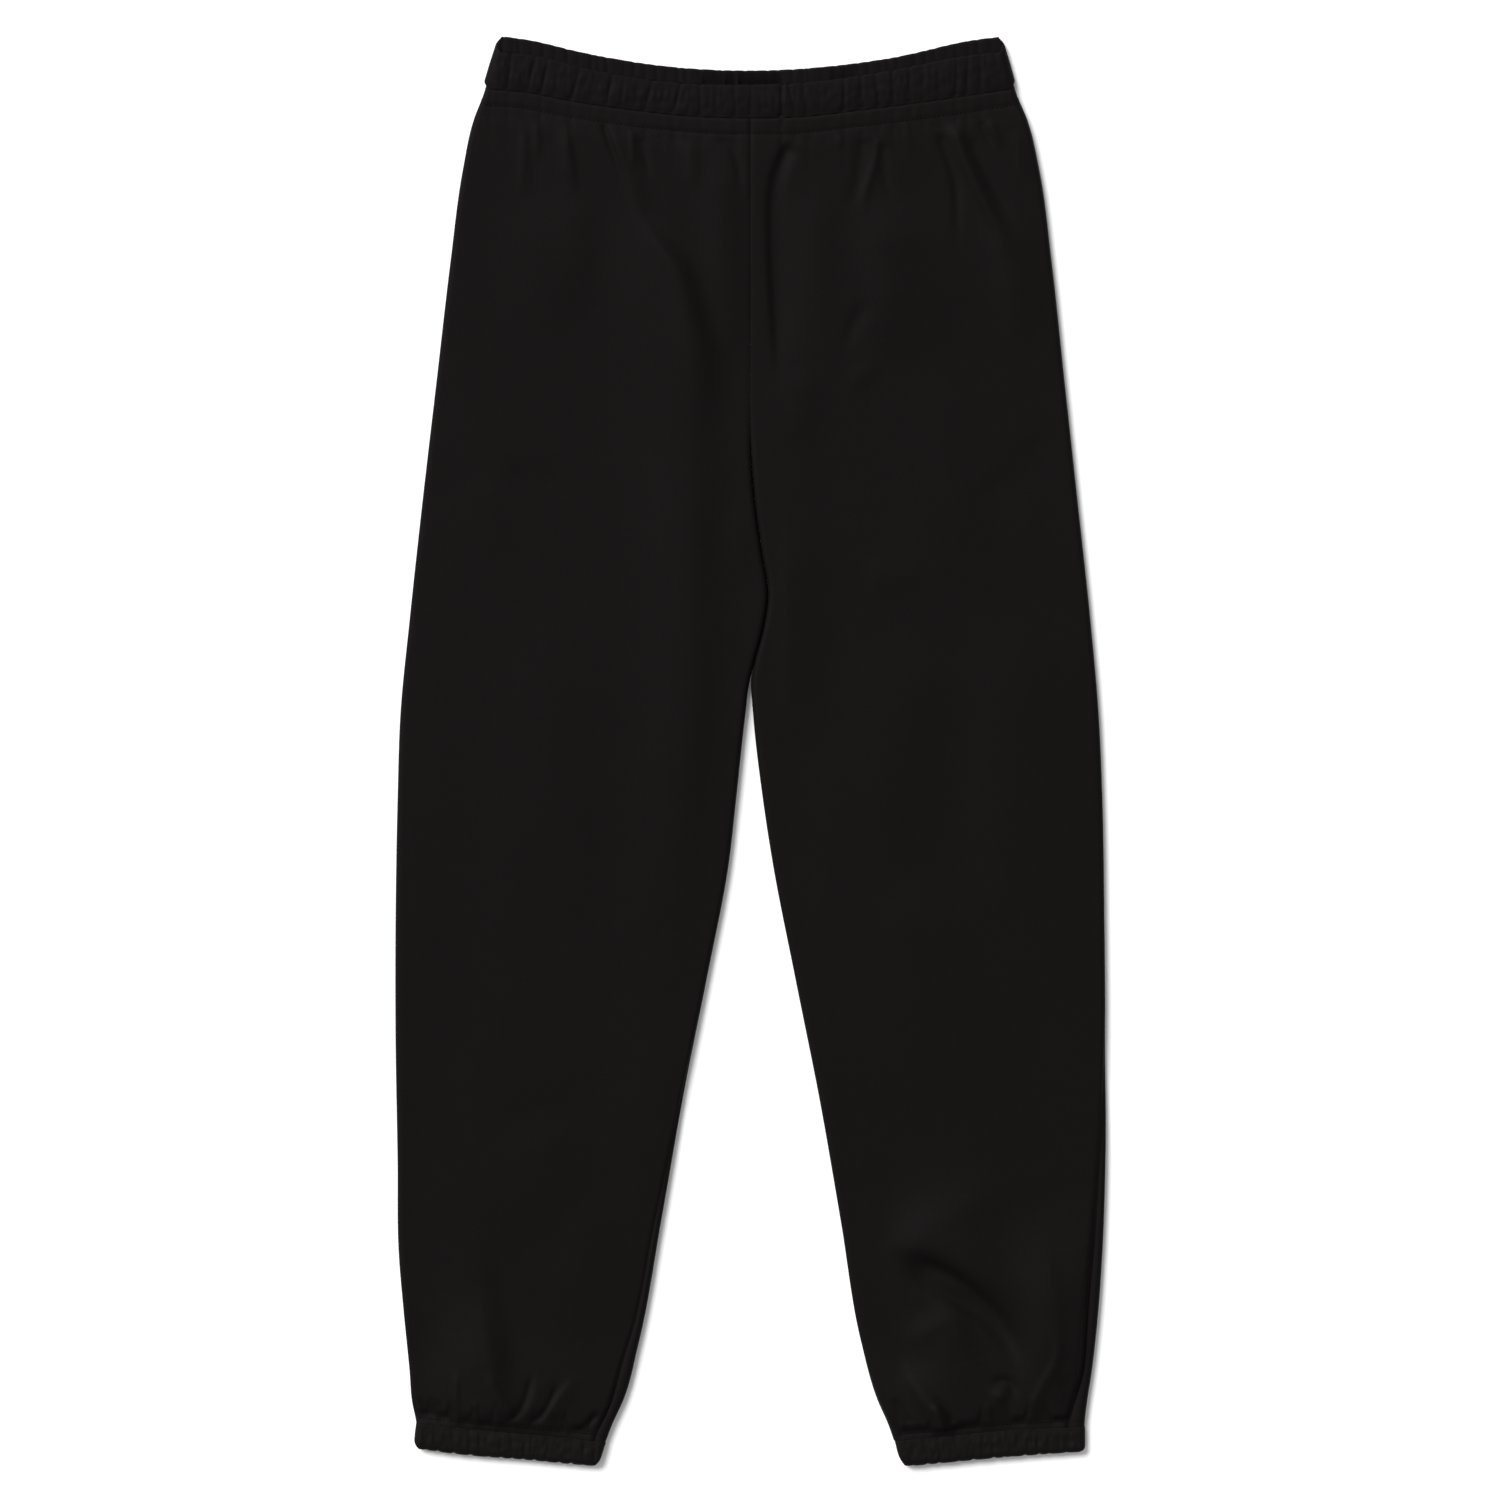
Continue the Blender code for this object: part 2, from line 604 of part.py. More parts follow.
def signed_volume(points, faces):
    """Positive where the faces point out of the solid."""
    a, b, c, d = (points[faces[:, corner]] for corner in range(4))
    return float((a * np.cross(b, c)).sum() + (a * np.cross(c, d)).sum())


def cloth_material(name, colour, roughness):
    """A dull cloth finish."""
    material = bpy.data.materials.new(name)
    material.use_nodes = True
    shader = material.node_tree.nodes["Principled BSDF"]
    shader.inputs["Base Color"].default_value = colour
    shader.inputs["Roughness"].default_value = roughness
    shader.inputs["Metallic"].default_value = 0.0
    return material


def add_piece(name, grids, closed, material, parent):
    """One named object for one piece of cloth."""
    mesh = shell_mesh(name, grids[0], grids[1], closed)
    mesh.materials.append(material)
    piece = bpy.data.objects.new(name, mesh)
    piece.parent = parent
    bpy.context.scene.collection.objects.link(piece)
    return piece


def add_leg_panels(parent):
    """The two front and two back panels."""
    for leg in ("right", "left"):
        for word, facing in (("front", FRONT), ("back", BACK)):
            name = f"{word}_{leg}_leg"
            material = cloth_material(f"fleece_{name}", FLEECE_BLACK, FLEECE_ROUGHNESS)
            add_piece(name, leg_panel(leg, facing), False, material, parent)


def add_casings(parent):
    """The waistband and the two cuffs."""
    rings = {
        "waistband": Ring(
            seam=FRONT_WAIST_SEAM,
            edge=FRONT_WAIST_EDGE,
            back_edge=BACK_WAIST_EDGE,
            seam_ends=WAIST_SEAM_EDGES,
            edge_ends=WAIST_TOP_EDGES,
            back_rise=FRONT_RISE_DROP,
            gather_height=WAIST_GATHER_HEIGHT,
            front_gathers=WAIST_FRONT_GATHERS,
            back_gathers=WAIST_BACK_GATHERS,
        ),
        "cuff_right": cuff_ring(RIGHT_CUFF_SEAM, RIGHT_CUFF_EDGE),
        "cuff_left": cuff_ring(LEFT_CUFF_SEAM, LEFT_CUFF_EDGE),
    }
    for name, ring in rings.items():
        material = cloth_material(f"casing_{name}", CASING_BLACK, CASING_ROUGHNESS)
        add_piece(name, ring_points(ring), True, material, parent)


def cuff_ring(seam, edge):
    """A cuff lies level, so its back edge is under its front edge."""
    return Ring(
        seam=seam,
        edge=edge,
        back_edge=edge,
        seam_ends=(seam[0].x, seam[-1].x),
        edge_ends=(edge[0].x, edge[-1].x),
        back_rise=0.0,
        gather_height=CUFF_GATHER_HEIGHT,
        front_gathers=CUFF_FRONT_GATHERS,
        back_gathers=CUFF_BACK_GATHERS,
    )


def clear_scene():
    """Removes the objects that a new file opens with."""
    for item in list(bpy.data.objects):
        bpy.data.objects.remove(item, do_unlink=True)


def main():
    clear_scene()
    garment = bpy.data.objects.new("sweatpants", None)
    bpy.context.scene.collection.objects.link(garment)
    add_leg_panels(garment)
    add_casings(garment)


main()
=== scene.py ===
"""The looks of jogger sweatpants laid flat, front up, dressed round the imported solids.

The waist points to +Y, the hems to -Y, and the wearer's left leg is at +X; the back panels lie on
z = 0. Sizes are millimetres until a mesh is written, in metres.

Each piece of cloth is a closed wall of two grids of points. A leg is a flattened tube: its section
at a height y is two flat layers that roll round at each edge on a half circle, and its front and
back panels are the two stretches of that section between the seams. Folds, puffs and seams are
heights added to that plain form. The waistband and the cuffs are rings of the same section, with
gathers between pinches.
"""

import logging
import math
from dataclasses import dataclass
from enum import Enum
from typing import NamedTuple

import bpy
import numpy as np
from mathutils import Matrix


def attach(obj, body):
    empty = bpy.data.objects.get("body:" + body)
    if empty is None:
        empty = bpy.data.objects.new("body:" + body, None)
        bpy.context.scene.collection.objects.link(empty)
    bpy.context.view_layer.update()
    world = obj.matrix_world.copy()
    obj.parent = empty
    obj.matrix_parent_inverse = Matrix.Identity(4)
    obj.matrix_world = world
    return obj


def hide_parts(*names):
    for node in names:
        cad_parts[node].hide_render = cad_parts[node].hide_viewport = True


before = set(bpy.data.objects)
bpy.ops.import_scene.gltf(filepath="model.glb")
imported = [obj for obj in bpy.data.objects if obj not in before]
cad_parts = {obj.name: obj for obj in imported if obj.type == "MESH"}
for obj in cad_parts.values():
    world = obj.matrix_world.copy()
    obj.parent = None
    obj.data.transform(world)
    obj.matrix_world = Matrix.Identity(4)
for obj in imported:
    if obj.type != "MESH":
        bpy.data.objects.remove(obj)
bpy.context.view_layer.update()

LOG = logging.getLogger("sweatpants")

MM = 0.001
QUARTER_TURN = math.pi / 2
BODY = "root"

Array = np.ndarray
Colour = tuple[float, float, float, float]

# What each sheet was cut to, in metres, a casing as it lies folded over its elastic.
WAISTBAND_CUT = (1.0, 0.027)
CUFF_CUT = (0.36, 0.021)


class Leg(Enum):
    """The wearer's leg that a piece belongs to."""

    RIGHT = "right"
    LEFT = "left"


class Facing(Enum):
    """The side of the garment that a piece is on."""

    FRONT = "front"
    BACK = "back"


class Slot(Enum):
    """Names of material slots."""

    FLEECE = "fleece"
    CASING = "casing"


# --- Curves and steps ---


def smooth_curve(at: Array, knots: Array, values: Array) -> Array:
    """A cubic through the knots, with slopes from the neighbours, as a smooth seam is drawn.

    Args:
        at: where to read the curve.
        knots: the places of the known values, rising or falling.
        values: the curve's values there.

    Returns:
        The curve at each place; past the ends it stays level.
    """
    knots = np.asarray(knots, float)
    values = np.asarray(values, float)
    if knots[0] > knots[-1]:
        knots = knots[::-1]
        values = values[::-1]
    at = np.clip(at, knots[0], knots[-1])
    slopes = np.gradient(values, knots)
    cell = np.clip(np.searchsorted(knots, at, side="right") - 1, 0, len(knots) - 2)
    span = knots[cell + 1] - knots[cell]
    t = (at - knots[cell]) / span
    start = (1 + 2 * t) * (1 - t) ** 2
    end = t**2 * (3 - 2 * t)
    start_slope = t * (1 - t) ** 2
    end_slope = t**2 * (t - 1)
    tangents = span * (start_slope * slopes[cell] + end_slope * slopes[cell + 1])
    return start * values[cell] + end * values[cell + 1] + tangents


def smooth_step(t: Array) -> Array:
    """Rises from 0 to 1 as t does, with level ends."""
    t = np.clip(t, 0.0, 1.0)
    return t * t * (3 - 2 * t)


def bell(distance: Array, width: float) -> Array:
    """A bump of height 1 whose soft half width is given: e to the minus (distance / width) squared."""
    return np.exp(-((distance / width) ** 2))


class Grain(NamedTuple):
    """A small random unevenness: the width and height of its cells, and the seed of its values."""

    width: float
    height: float
    seed: int


LATTICE = 64  # a grain repeats after this many cells
LATTICE_START = 1000.0  # keeps the numbers of its cells positive

STITCH_GRAIN = Grain(9.0, 1.0, 11)
STITCH_SPELL_GRAIN = Grain(34.0, 1.0, 14)
WAIST_STRIP_GRAIN = Grain(3.2, 7.0, 12)
HEM_STRIP_GRAIN = Grain(2.8, 5.0, 13)
VALLEY_GRAIN = Grain(8.0, 11.0, 24)
PUFF_GRAIN = Grain(17.0, 60.0, 21)
WRINKLE_GRAIN = Grain(2.6, 6.0, 22)
BROAD_WRINKLE_GRAIN = Grain(6.5, 4.5, 23)


def value_noise(x: Array, y: Array, grain: Grain) -> Array:
    """Smooth random values from -1 to 1, on a lattice of the grain's cells."""
    values = np.random.default_rng(grain.seed).uniform(-1.0, 1.0, (LATTICE, LATTICE))
    u = x / grain.width + LATTICE_START
    v = y / grain.height + LATTICE_START
    column = np.floor(u).astype(int)
    row = np.floor(v).astype(int)
    s = smooth_step(u - column)
    t = smooth_step(v - row)

    def along_row(line: Array) -> Array:
        """The values between two columns of the lattice, on its given rows."""
        left = values[line % LATTICE, column % LATTICE]
        right = values[line % LATTICE, (column + 1) % LATTICE]
        return left * (1 - s) + right * s

    return along_row(row) * (1 - t) + along_row(row + 1) * t


def soft_positive(value: Array, corner: float) -> Array:
    """The value where it is positive and 0 elsewhere, with a rounded corner."""
    return 0.5 * (value + np.sqrt(value**2 + corner**2))


# --- The outline, as tables ---


class Edges(NamedTuple):
    """The x of an edge on both legs, at one height."""

    y: float
    right: float
    left: float


class Mark(NamedTuple):
    """A point that a seam or an edge runs through, seen from above."""

    x: float
    y: float


class Shift(NamedTuple):
    """How far a seam has turned from its rolled edge onto the front, at one height."""

    y: float
    side_left: float
    inner_right: float


SIDE_EDGES = (
    Edges(y=512.0, right=-195.5, left=195.0),
    Edges(y=495.0, right=-199.5, left=198.8),
    Edges(y=473.0, right=-207.8, left=207.8),
    Edges(y=435.0, right=-216.0, left=216.8),
    Edges(y=368.0, right=-225.0, left=225.8),
    Edges(y=278.0, right=-235.5, left=235.5),
    Edges(y=188.0, right=-246.0, left=245.3),
    Edges(y=98.0, right=-255.8, left=255.0),
    Edges(y=30.0, right=-262.5, left=261.0),
    Edges(y=-37.0, right=-264.8, left=264.0),
    Edges(y=-127.0, right=-266.3, left=265.5),
    Edges(y=-217.0, right=-266.3, left=266.3),
    Edges(y=-307.0, right=-264.8, left=266.3),
    Edges(y=-375.0, right=-264.0, left=264.0),
    Edges(y=-420.0, right=-260.3, left=261.0),
    Edges(y=-465.0, right=-255.8, left=256.0),
    Edges(y=-488.0, right=-253.9, left=252.6),
    Edges(y=-502.0, right=-251.0, left=250.8),
    Edges(y=-520.0, right=-249.6, left=250.6),
)

# Above the fork, both inner edges meet on one line: the centre seam, then the crotch crease.
INNER_EDGES = (
    Edges(y=512.0, right=0.0, left=0.0),
    Edges(y=330.0, right=0.0, left=0.0),
    Edges(y=292.0, right=0.0, left=0.0),
    Edges(y=254.0, right=0.0, left=0.0),
    Edges(y=222.0, right=0.5, left=0.5),
    Edges(y=189.0, right=3.0, left=3.0),
    Edges(y=150.0, right=8.3, left=8.3),
    Edges(y=116.0, right=13.1, left=13.1),
    Edges(y=92.0, right=9.6, left=9.6),
    Edges(y=64.0, right=2.3, left=2.3),
    Edges(y=52.0, right=-0.7, left=0.5),
    Edges(y=30.0, right=-3.5, left=1.7),
    Edges(y=-37.0, right=-10.8, left=9.3),
    Edges(y=-82.0, right=-15.9, left=16.2),
    Edges(y=-172.0, right=-33.0, left=33.8),
    Edges(y=-262.0, right=-51.0, left=51.8),
    Edges(y=-352.0, right=-66.8, left=67.5),
    Edges(y=-442.0, right=-83.3, left=82.6),
    Edges(y=-487.0, right=-95.3, left=95.3),
    Edges(y=-505.0, right=-103.5, left=103.2),
    Edges(y=-520.0, right=-109.3, left=108.5),
)

SEAM_SHIFTS = (
    Shift(y=520.0, side_left=0.0, inner_right=0.0),
    Shift(y=-180.0, side_left=0.0, inner_right=0.0),
    Shift(y=-264.0, side_left=3.7, inner_right=3.0),
    Shift(y=-321.0, side_left=7.2, inner_right=5.6),
    Shift(y=-369.0, side_left=9.3, inner_right=7.4),
    Shift(y=-407.0, side_left=11.0, inner_right=8.0),
    Shift(y=-436.0, side_left=10.6, inner_right=9.2),
    Shift(y=-465.0, side_left=9.8, inner_right=12.0),
    Shift(y=-499.0, side_left=13.9, inner_right=11.4),
    Shift(y=-520.0, side_left=15.0, inner_right=11.0),
)

FRONT_WAIST_SEAM = (
    Mark(-199.0, 496.0), Mark(-170.0, 493.6), Mark(-135.0, 487.0), Mark(-84.0, 479.6),
    Mark(-40.0, 475.2), Mark(0.0, 474.2), Mark(40.0, 475.2), Mark(82.0, 480.0), Mark(150.0, 489.0),
    Mark(199.0, 496.4),
)
FRONT_WAIST_RIM = (
    Mark(-190.0, 524.0), Mark(-160.0, 520.8), Mark(-119.0, 510.6), Mark(-64.0, 501.6),
    Mark(0.0, 499.2), Mark(50.0, 501.8), Mark(104.0, 509.8), Mark(176.0, 522.8), Mark(190.0, 523.6),
)
BACK_WAIST_RIM = (
    Mark(-190.0, 536.6), Mark(-166.0, 533.2), Mark(-124.0, 523.5), Mark(-61.0, 513.4),
    Mark(0.0, 510.4), Mark(64.0, 514.1), Mark(106.0, 520.0), Mark(169.0, 533.5), Mark(190.0, 536.0),
)
RIGHT_CUFF_SEAM = (
    Mark(-250.8, -503.5), Mark(-217.0, -507.4), Mark(-167.0, -512.0), Mark(-125.0, -516.0),
    Mark(-108.4, -518.5),
)
RIGHT_CUFF_RIM = (
    Mark(-252.6, -522.4), Mark(-219.0, -526.9), Mark(-165.0, -531.4), Mark(-129.0, -534.8),
    Mark(-112.8, -536.0),
)
LEFT_CUFF_SEAM = (
    Mark(108.0, -517.0), Mark(139.5, -514.1), Mark(196.5, -508.6), Mark(229.5, -507.2),
    Mark(251.0, -506.4),
)
LEFT_CUFF_RIM = (
    Mark(111.2, -536.2), Mark(123.0, -535.4), Mark(171.0, -530.9), Mark(207.0, -527.9),
    Mark(251.0, -524.8),
)

FRONT_RISE_DROP = 12.0  # how far the front waist lies below the back waist
CURL_STARTS_Y = 262.0  # the inner rolls open from flat, over the crotch,
CURL_ENDS_Y = 188.0  # to full, in the leg

LEG_TOP_Y = FRONT_WAIST_SEAM[0].y  # about where a panel's rows start,
LEG_FOOT_Y = RIGHT_CUFF_SEAM[2].y  # and where they end
LEG_LENGTH = LEG_TOP_Y - LEG_FOOT_Y


def through_marks(x: Array, marks: tuple[Mark, ...]) -> Array:
    """The y of a seam or an edge at x."""
    return smooth_curve(x, [mark.x for mark in marks], [mark.y for mark in marks])


def down_table(y: Array, table: tuple, column: str) -> Array:
    """One column of a table of heights, at y."""
    return smooth_curve(y, [row.y for row in table], [getattr(row, column) for row in table])


def waist_seam_y(x: Array, facing: Facing) -> Array:
    """Where the body meets the waistband; the back's seam lies higher than the front's."""
    rise = FRONT_RISE_DROP if facing is Facing.BACK else 0.0
    return through_marks(x, FRONT_WAIST_SEAM) + rise


def cuff_seam_y(x: Array, leg: Leg) -> Array:
    """Where a leg meets its cuff."""
    return through_marks(x, LEFT_CUFF_SEAM if leg is Leg.LEFT else RIGHT_CUFF_SEAM)


# --- Folds ---


@dataclass(frozen=True)
class Fold:
    """A soft ridge, or a trough where the height is negative, along a smooth line.

    Attributes:
        marks: the (x, y) points that the line runs through.
        height: how high its crest stands, or how deep it is cut.
        right: its soft half width on the right hand of someone who walks the line.
        left: the same on the left hand, which is towards +X on a line that runs to the hem;
            0 repeats the right one.
        head: the share of its length over which it rises.
        tail: the share over which it fades.
        first: the share of its half widths that it starts with, before it opens out.
    """

    marks: tuple[tuple[float, float], ...]
    height: float
    right: float
    left: float = 0.0
    head: float = 0.3
    tail: float = 0.5
    first: float = 1.0

    PIECES = 18  # of the line, each straight
    REACH = 2.7  # half widths, past which it adds nothing
    OPENS_OVER = 0.6  # the share of its length over which it opens out

    def line(self) -> Array:
        """Points along a smooth curve through the marks."""
        marks = np.array(self.marks, float)
        steps = np.hypot(*np.diff(marks, axis=0).T)
        knots = np.concatenate([[0.0], np.cumsum(steps)])
        at = np.linspace(0.0, knots[-1], self.PIECES + 1)
        if len(marks) == 2:
            return marks[0] + (marks[1] - marks[0]) * (at / knots[-1])[:, None]
        return np.stack([smooth_curve(at, knots, marks[:, axis]) for axis in (0, 1)], axis=-1)

    def relief(self, x: Array, y: Array) -> Array:
        """The height that the fold adds.

        It is height * fade(s) * exp(-(d / w)^2): d is the distance to the line, s the share of
        the line passed at its nearest point, and w the half width on that side.

        Args:
            x, y: where, seen from above.

        Returns:
            The height at each point.
        """
        line = self.line()
        reach = self.REACH * max(self.right, self.left)
        low = line.min(axis=0) - reach
        high = line.max(axis=0) + reach
        near = (x > low[0]) & (x < high[0]) & (y > low[1]) & (y < high[1])
        total = np.zeros_like(x)
        if not near.any():
            return total
        runs = np.diff(line, axis=0)
        from_x = x[near][:, None] - line[:-1, 0]
        from_y = y[near][:, None] - line[:-1, 1]
        along = (from_x * runs[:, 0] + from_y * runs[:, 1]) / (runs**2).sum(axis=1)
        along = np.clip(along, 0.0, 1.0)
        far = (from_x - along * runs[:, 0]) ** 2 + (from_y - along * runs[:, 1]) ** 2
        best = far.argmin(axis=1)
        pick = np.arange(len(best))
        on_left = runs[best, 0] * from_y[pick, best] > runs[best, 1] * from_x[pick, best]
        width = np.where(on_left, self.left or self.right, self.right)
        share = (best + along[pick, best]) / len(runs)
        width = width * (self.first + (1 - self.first) * smooth_step(share / self.OPENS_OVER))
        fade = smooth_step(share / self.head) * smooth_step((1 - share) / self.tail)
        total[near] = self.height * fade * np.exp(-far[pick, best] / width**2)
        return total


def relief_of(folds: tuple[Fold, ...], x: Array, y: Array) -> Array:
    """The heights of all the folds together."""
    total = np.zeros_like(x)
    for fold in folds:
        total += fold.relief(x, y)
    return total


RIGHT_FRONT_FOLDS = (
    # Short gathers under the waistband, from the side to the centre.
    Fold(((-170, 475), (-170, 452), (-172, 412)), 1.0, 3.4, 4.5, head=0.35),
    Fold(((-161, 473), (-160, 458), (-161, 440)), 0.9, 2.8, 3.2),
    Fold(((-139, 472), (-136, 446), (-131, 412)), 1.7, 6.5, 3.4, head=0.35),
    Fold(((-134, 430), (-131, 390), (-133, 325)), 1.1, 15.0, 15.0),
    # The long drag line from the waist to the crotch.
    Fold(((-111, 471), (-102, 447), (-93, 422)), -1.6, 2.4, head=0.08, tail=0.6),
    Fold(((-108, 474), (-97, 444), (-88, 422), (-79, 396)), 1.6, 3.8, 10.0, head=0.3, tail=0.35),
    Fold(
        ((-98, 430), (-80, 396), (-68, 377), (-55, 361), (-46, 340), (-40, 318), (-35, 285), (-32, 235)),
        3.4, 13.0, 11.0, head=0.5, tail=0.5, first=0.25,
    ),
    Fold(((-84, 424), (-62, 360), (-46, 290), (-40, 200)), 3.5, 32.0, 15.0, head=0.35, tail=0.5),
    Fold(((-56, 362), (-42, 344), (-34, 322), (-28, 296)), -1.0, 7.0, 9.0, head=0.4),
    Fold(((-89, 466), (-88, 447), (-88, 432)), 0.9, 2.4, head=0.1),
    Fold(((-83, 460), (-78, 442), (-75, 424)), -0.8, 3.2, head=0.1),
    Fold(((-58, 469), (-54, 452)), -0.6, 2.4),
    Fold(((-48, 464), (-44, 440), (-41, 418)), 1.2, 5.5, 6.0, head=0.4),
    Fold(((-27, 452), (-22, 420), (-20, 375), (-16, 325), (-14, 280)), 1.7, 14.0, 14.0, head=0.2),
    Fold(((-25, 460), (-16, 454), (-10, 441), (-8, 410)), -1.0, 3.0, 3.4, head=0.1),
    # The thigh, soft and wide: the cloth climbs to the inner side and falls off beyond it.
    Fold(((-56, 300), (-48, 220), (-46, 120), (-48, 20), (-58, -80), (-76, -190)), 3.6, 34.0, 22.0),
    Fold(((-160, 420), (-156, 360), (-160, 280)), 1.0, 22.0),
    Fold(((-186, 216), (-164, 202), (-132, 192)), -0.7, 14.0),
    Fold(((-208, 210), (-200, 170), (-206, 130)), 0.6, 20.0),
    Fold(((-12, 186), (-8, 158), (-10, 124)), 0.6, 11.0, 9.0),
    Fold(((-150, 120), (-160, -20), (-166, -150)), 1.6, 34.0),
    # The lower leg: it climbs from the side to a soft crest and falls off steeply beyond it.
    Fold(((-160, -270), (-156, -315), (-166, -372)), 1.4, 30.0, 26.0),
    Fold(((-120, -330), (-126, -400), (-134, -450)), 1.0, 20.0),
    Fold(((-252, -410), (-250, -460), (-250, -545)), -2.6, 10.0, 26.0, head=0.4, tail=0.4),
    Fold(
        ((-206, -350), (-203, -410), (-199, -440), (-193, -465), (-184, -505)),
        1.3, 30.0, 9.0, head=0.6, tail=0.4,
    ),
    Fold(
        ((-205, -398), (-201, -435), (-196, -462), (-190, -490), (-184, -545)),
        5.2, 34.0, 17.0, head=0.45, tail=0.4,
    ),
    Fold(((-170, -440), (-166, -475), (-164, -545)), 1.8, 14.0, 20.0, head=0.5, tail=0.4),
    Fold(((-191, -362), (-187, -395), (-182, -425), (-178, -455), (-174, -478)), -0.6, 7.0, 10.0),
    Fold(((-196, -462), (-191, -480), (-184, -490), (-178, -500)), 1.0, 5.0, 4.0, tail=0.2),
    # Gathers over the hem.
    Fold(((-250, -483), (-244, -492), (-236, -504)), -1.5, 2.4, head=0.4, tail=0.15),
    Fold(((-235, -484), (-232, -495), (-227, -503)), -1.2, 2.4, head=0.4, tail=0.15),
    Fold(((-221, -462), (-220, -488), (-219, -508)), 1.3, 2.4, 2.8, tail=0.12),
    Fold(((-206, -484), (-205, -508)), 1.0, 2.6, tail=0.12),
    Fold(((-190, -490), (-189, -508)), 0.9, 2.4, tail=0.12),
    Fold(((-164, -464), (-168, -484), (-175, -497), (-186, -504)), -1.3, 2.4, 2.6, tail=0.2),
    Fold(((-159, -464), (-162, -484), (-168, -497), (-177, -505)), 0.6, 2.4, 8.0, tail=0.2),
    Fold(((-144, -470), (-149, -486), (-157, -498), (-169, -505)), -1.3, 2.4, 2.6, tail=0.2),
    Fold(((-130, -466), (-138, -478), (-146, -488), (-153, -500), (-158, -514)), 1.1, 3.0, 8.0, tail=0.1),
    Fold(((-146, -496), (-140, -505)), -0.9, 3.0),
    Fold(((-112, -494), (-120, -502), (-127, -508), (-135, -509)), -2.0, 2.6),
)

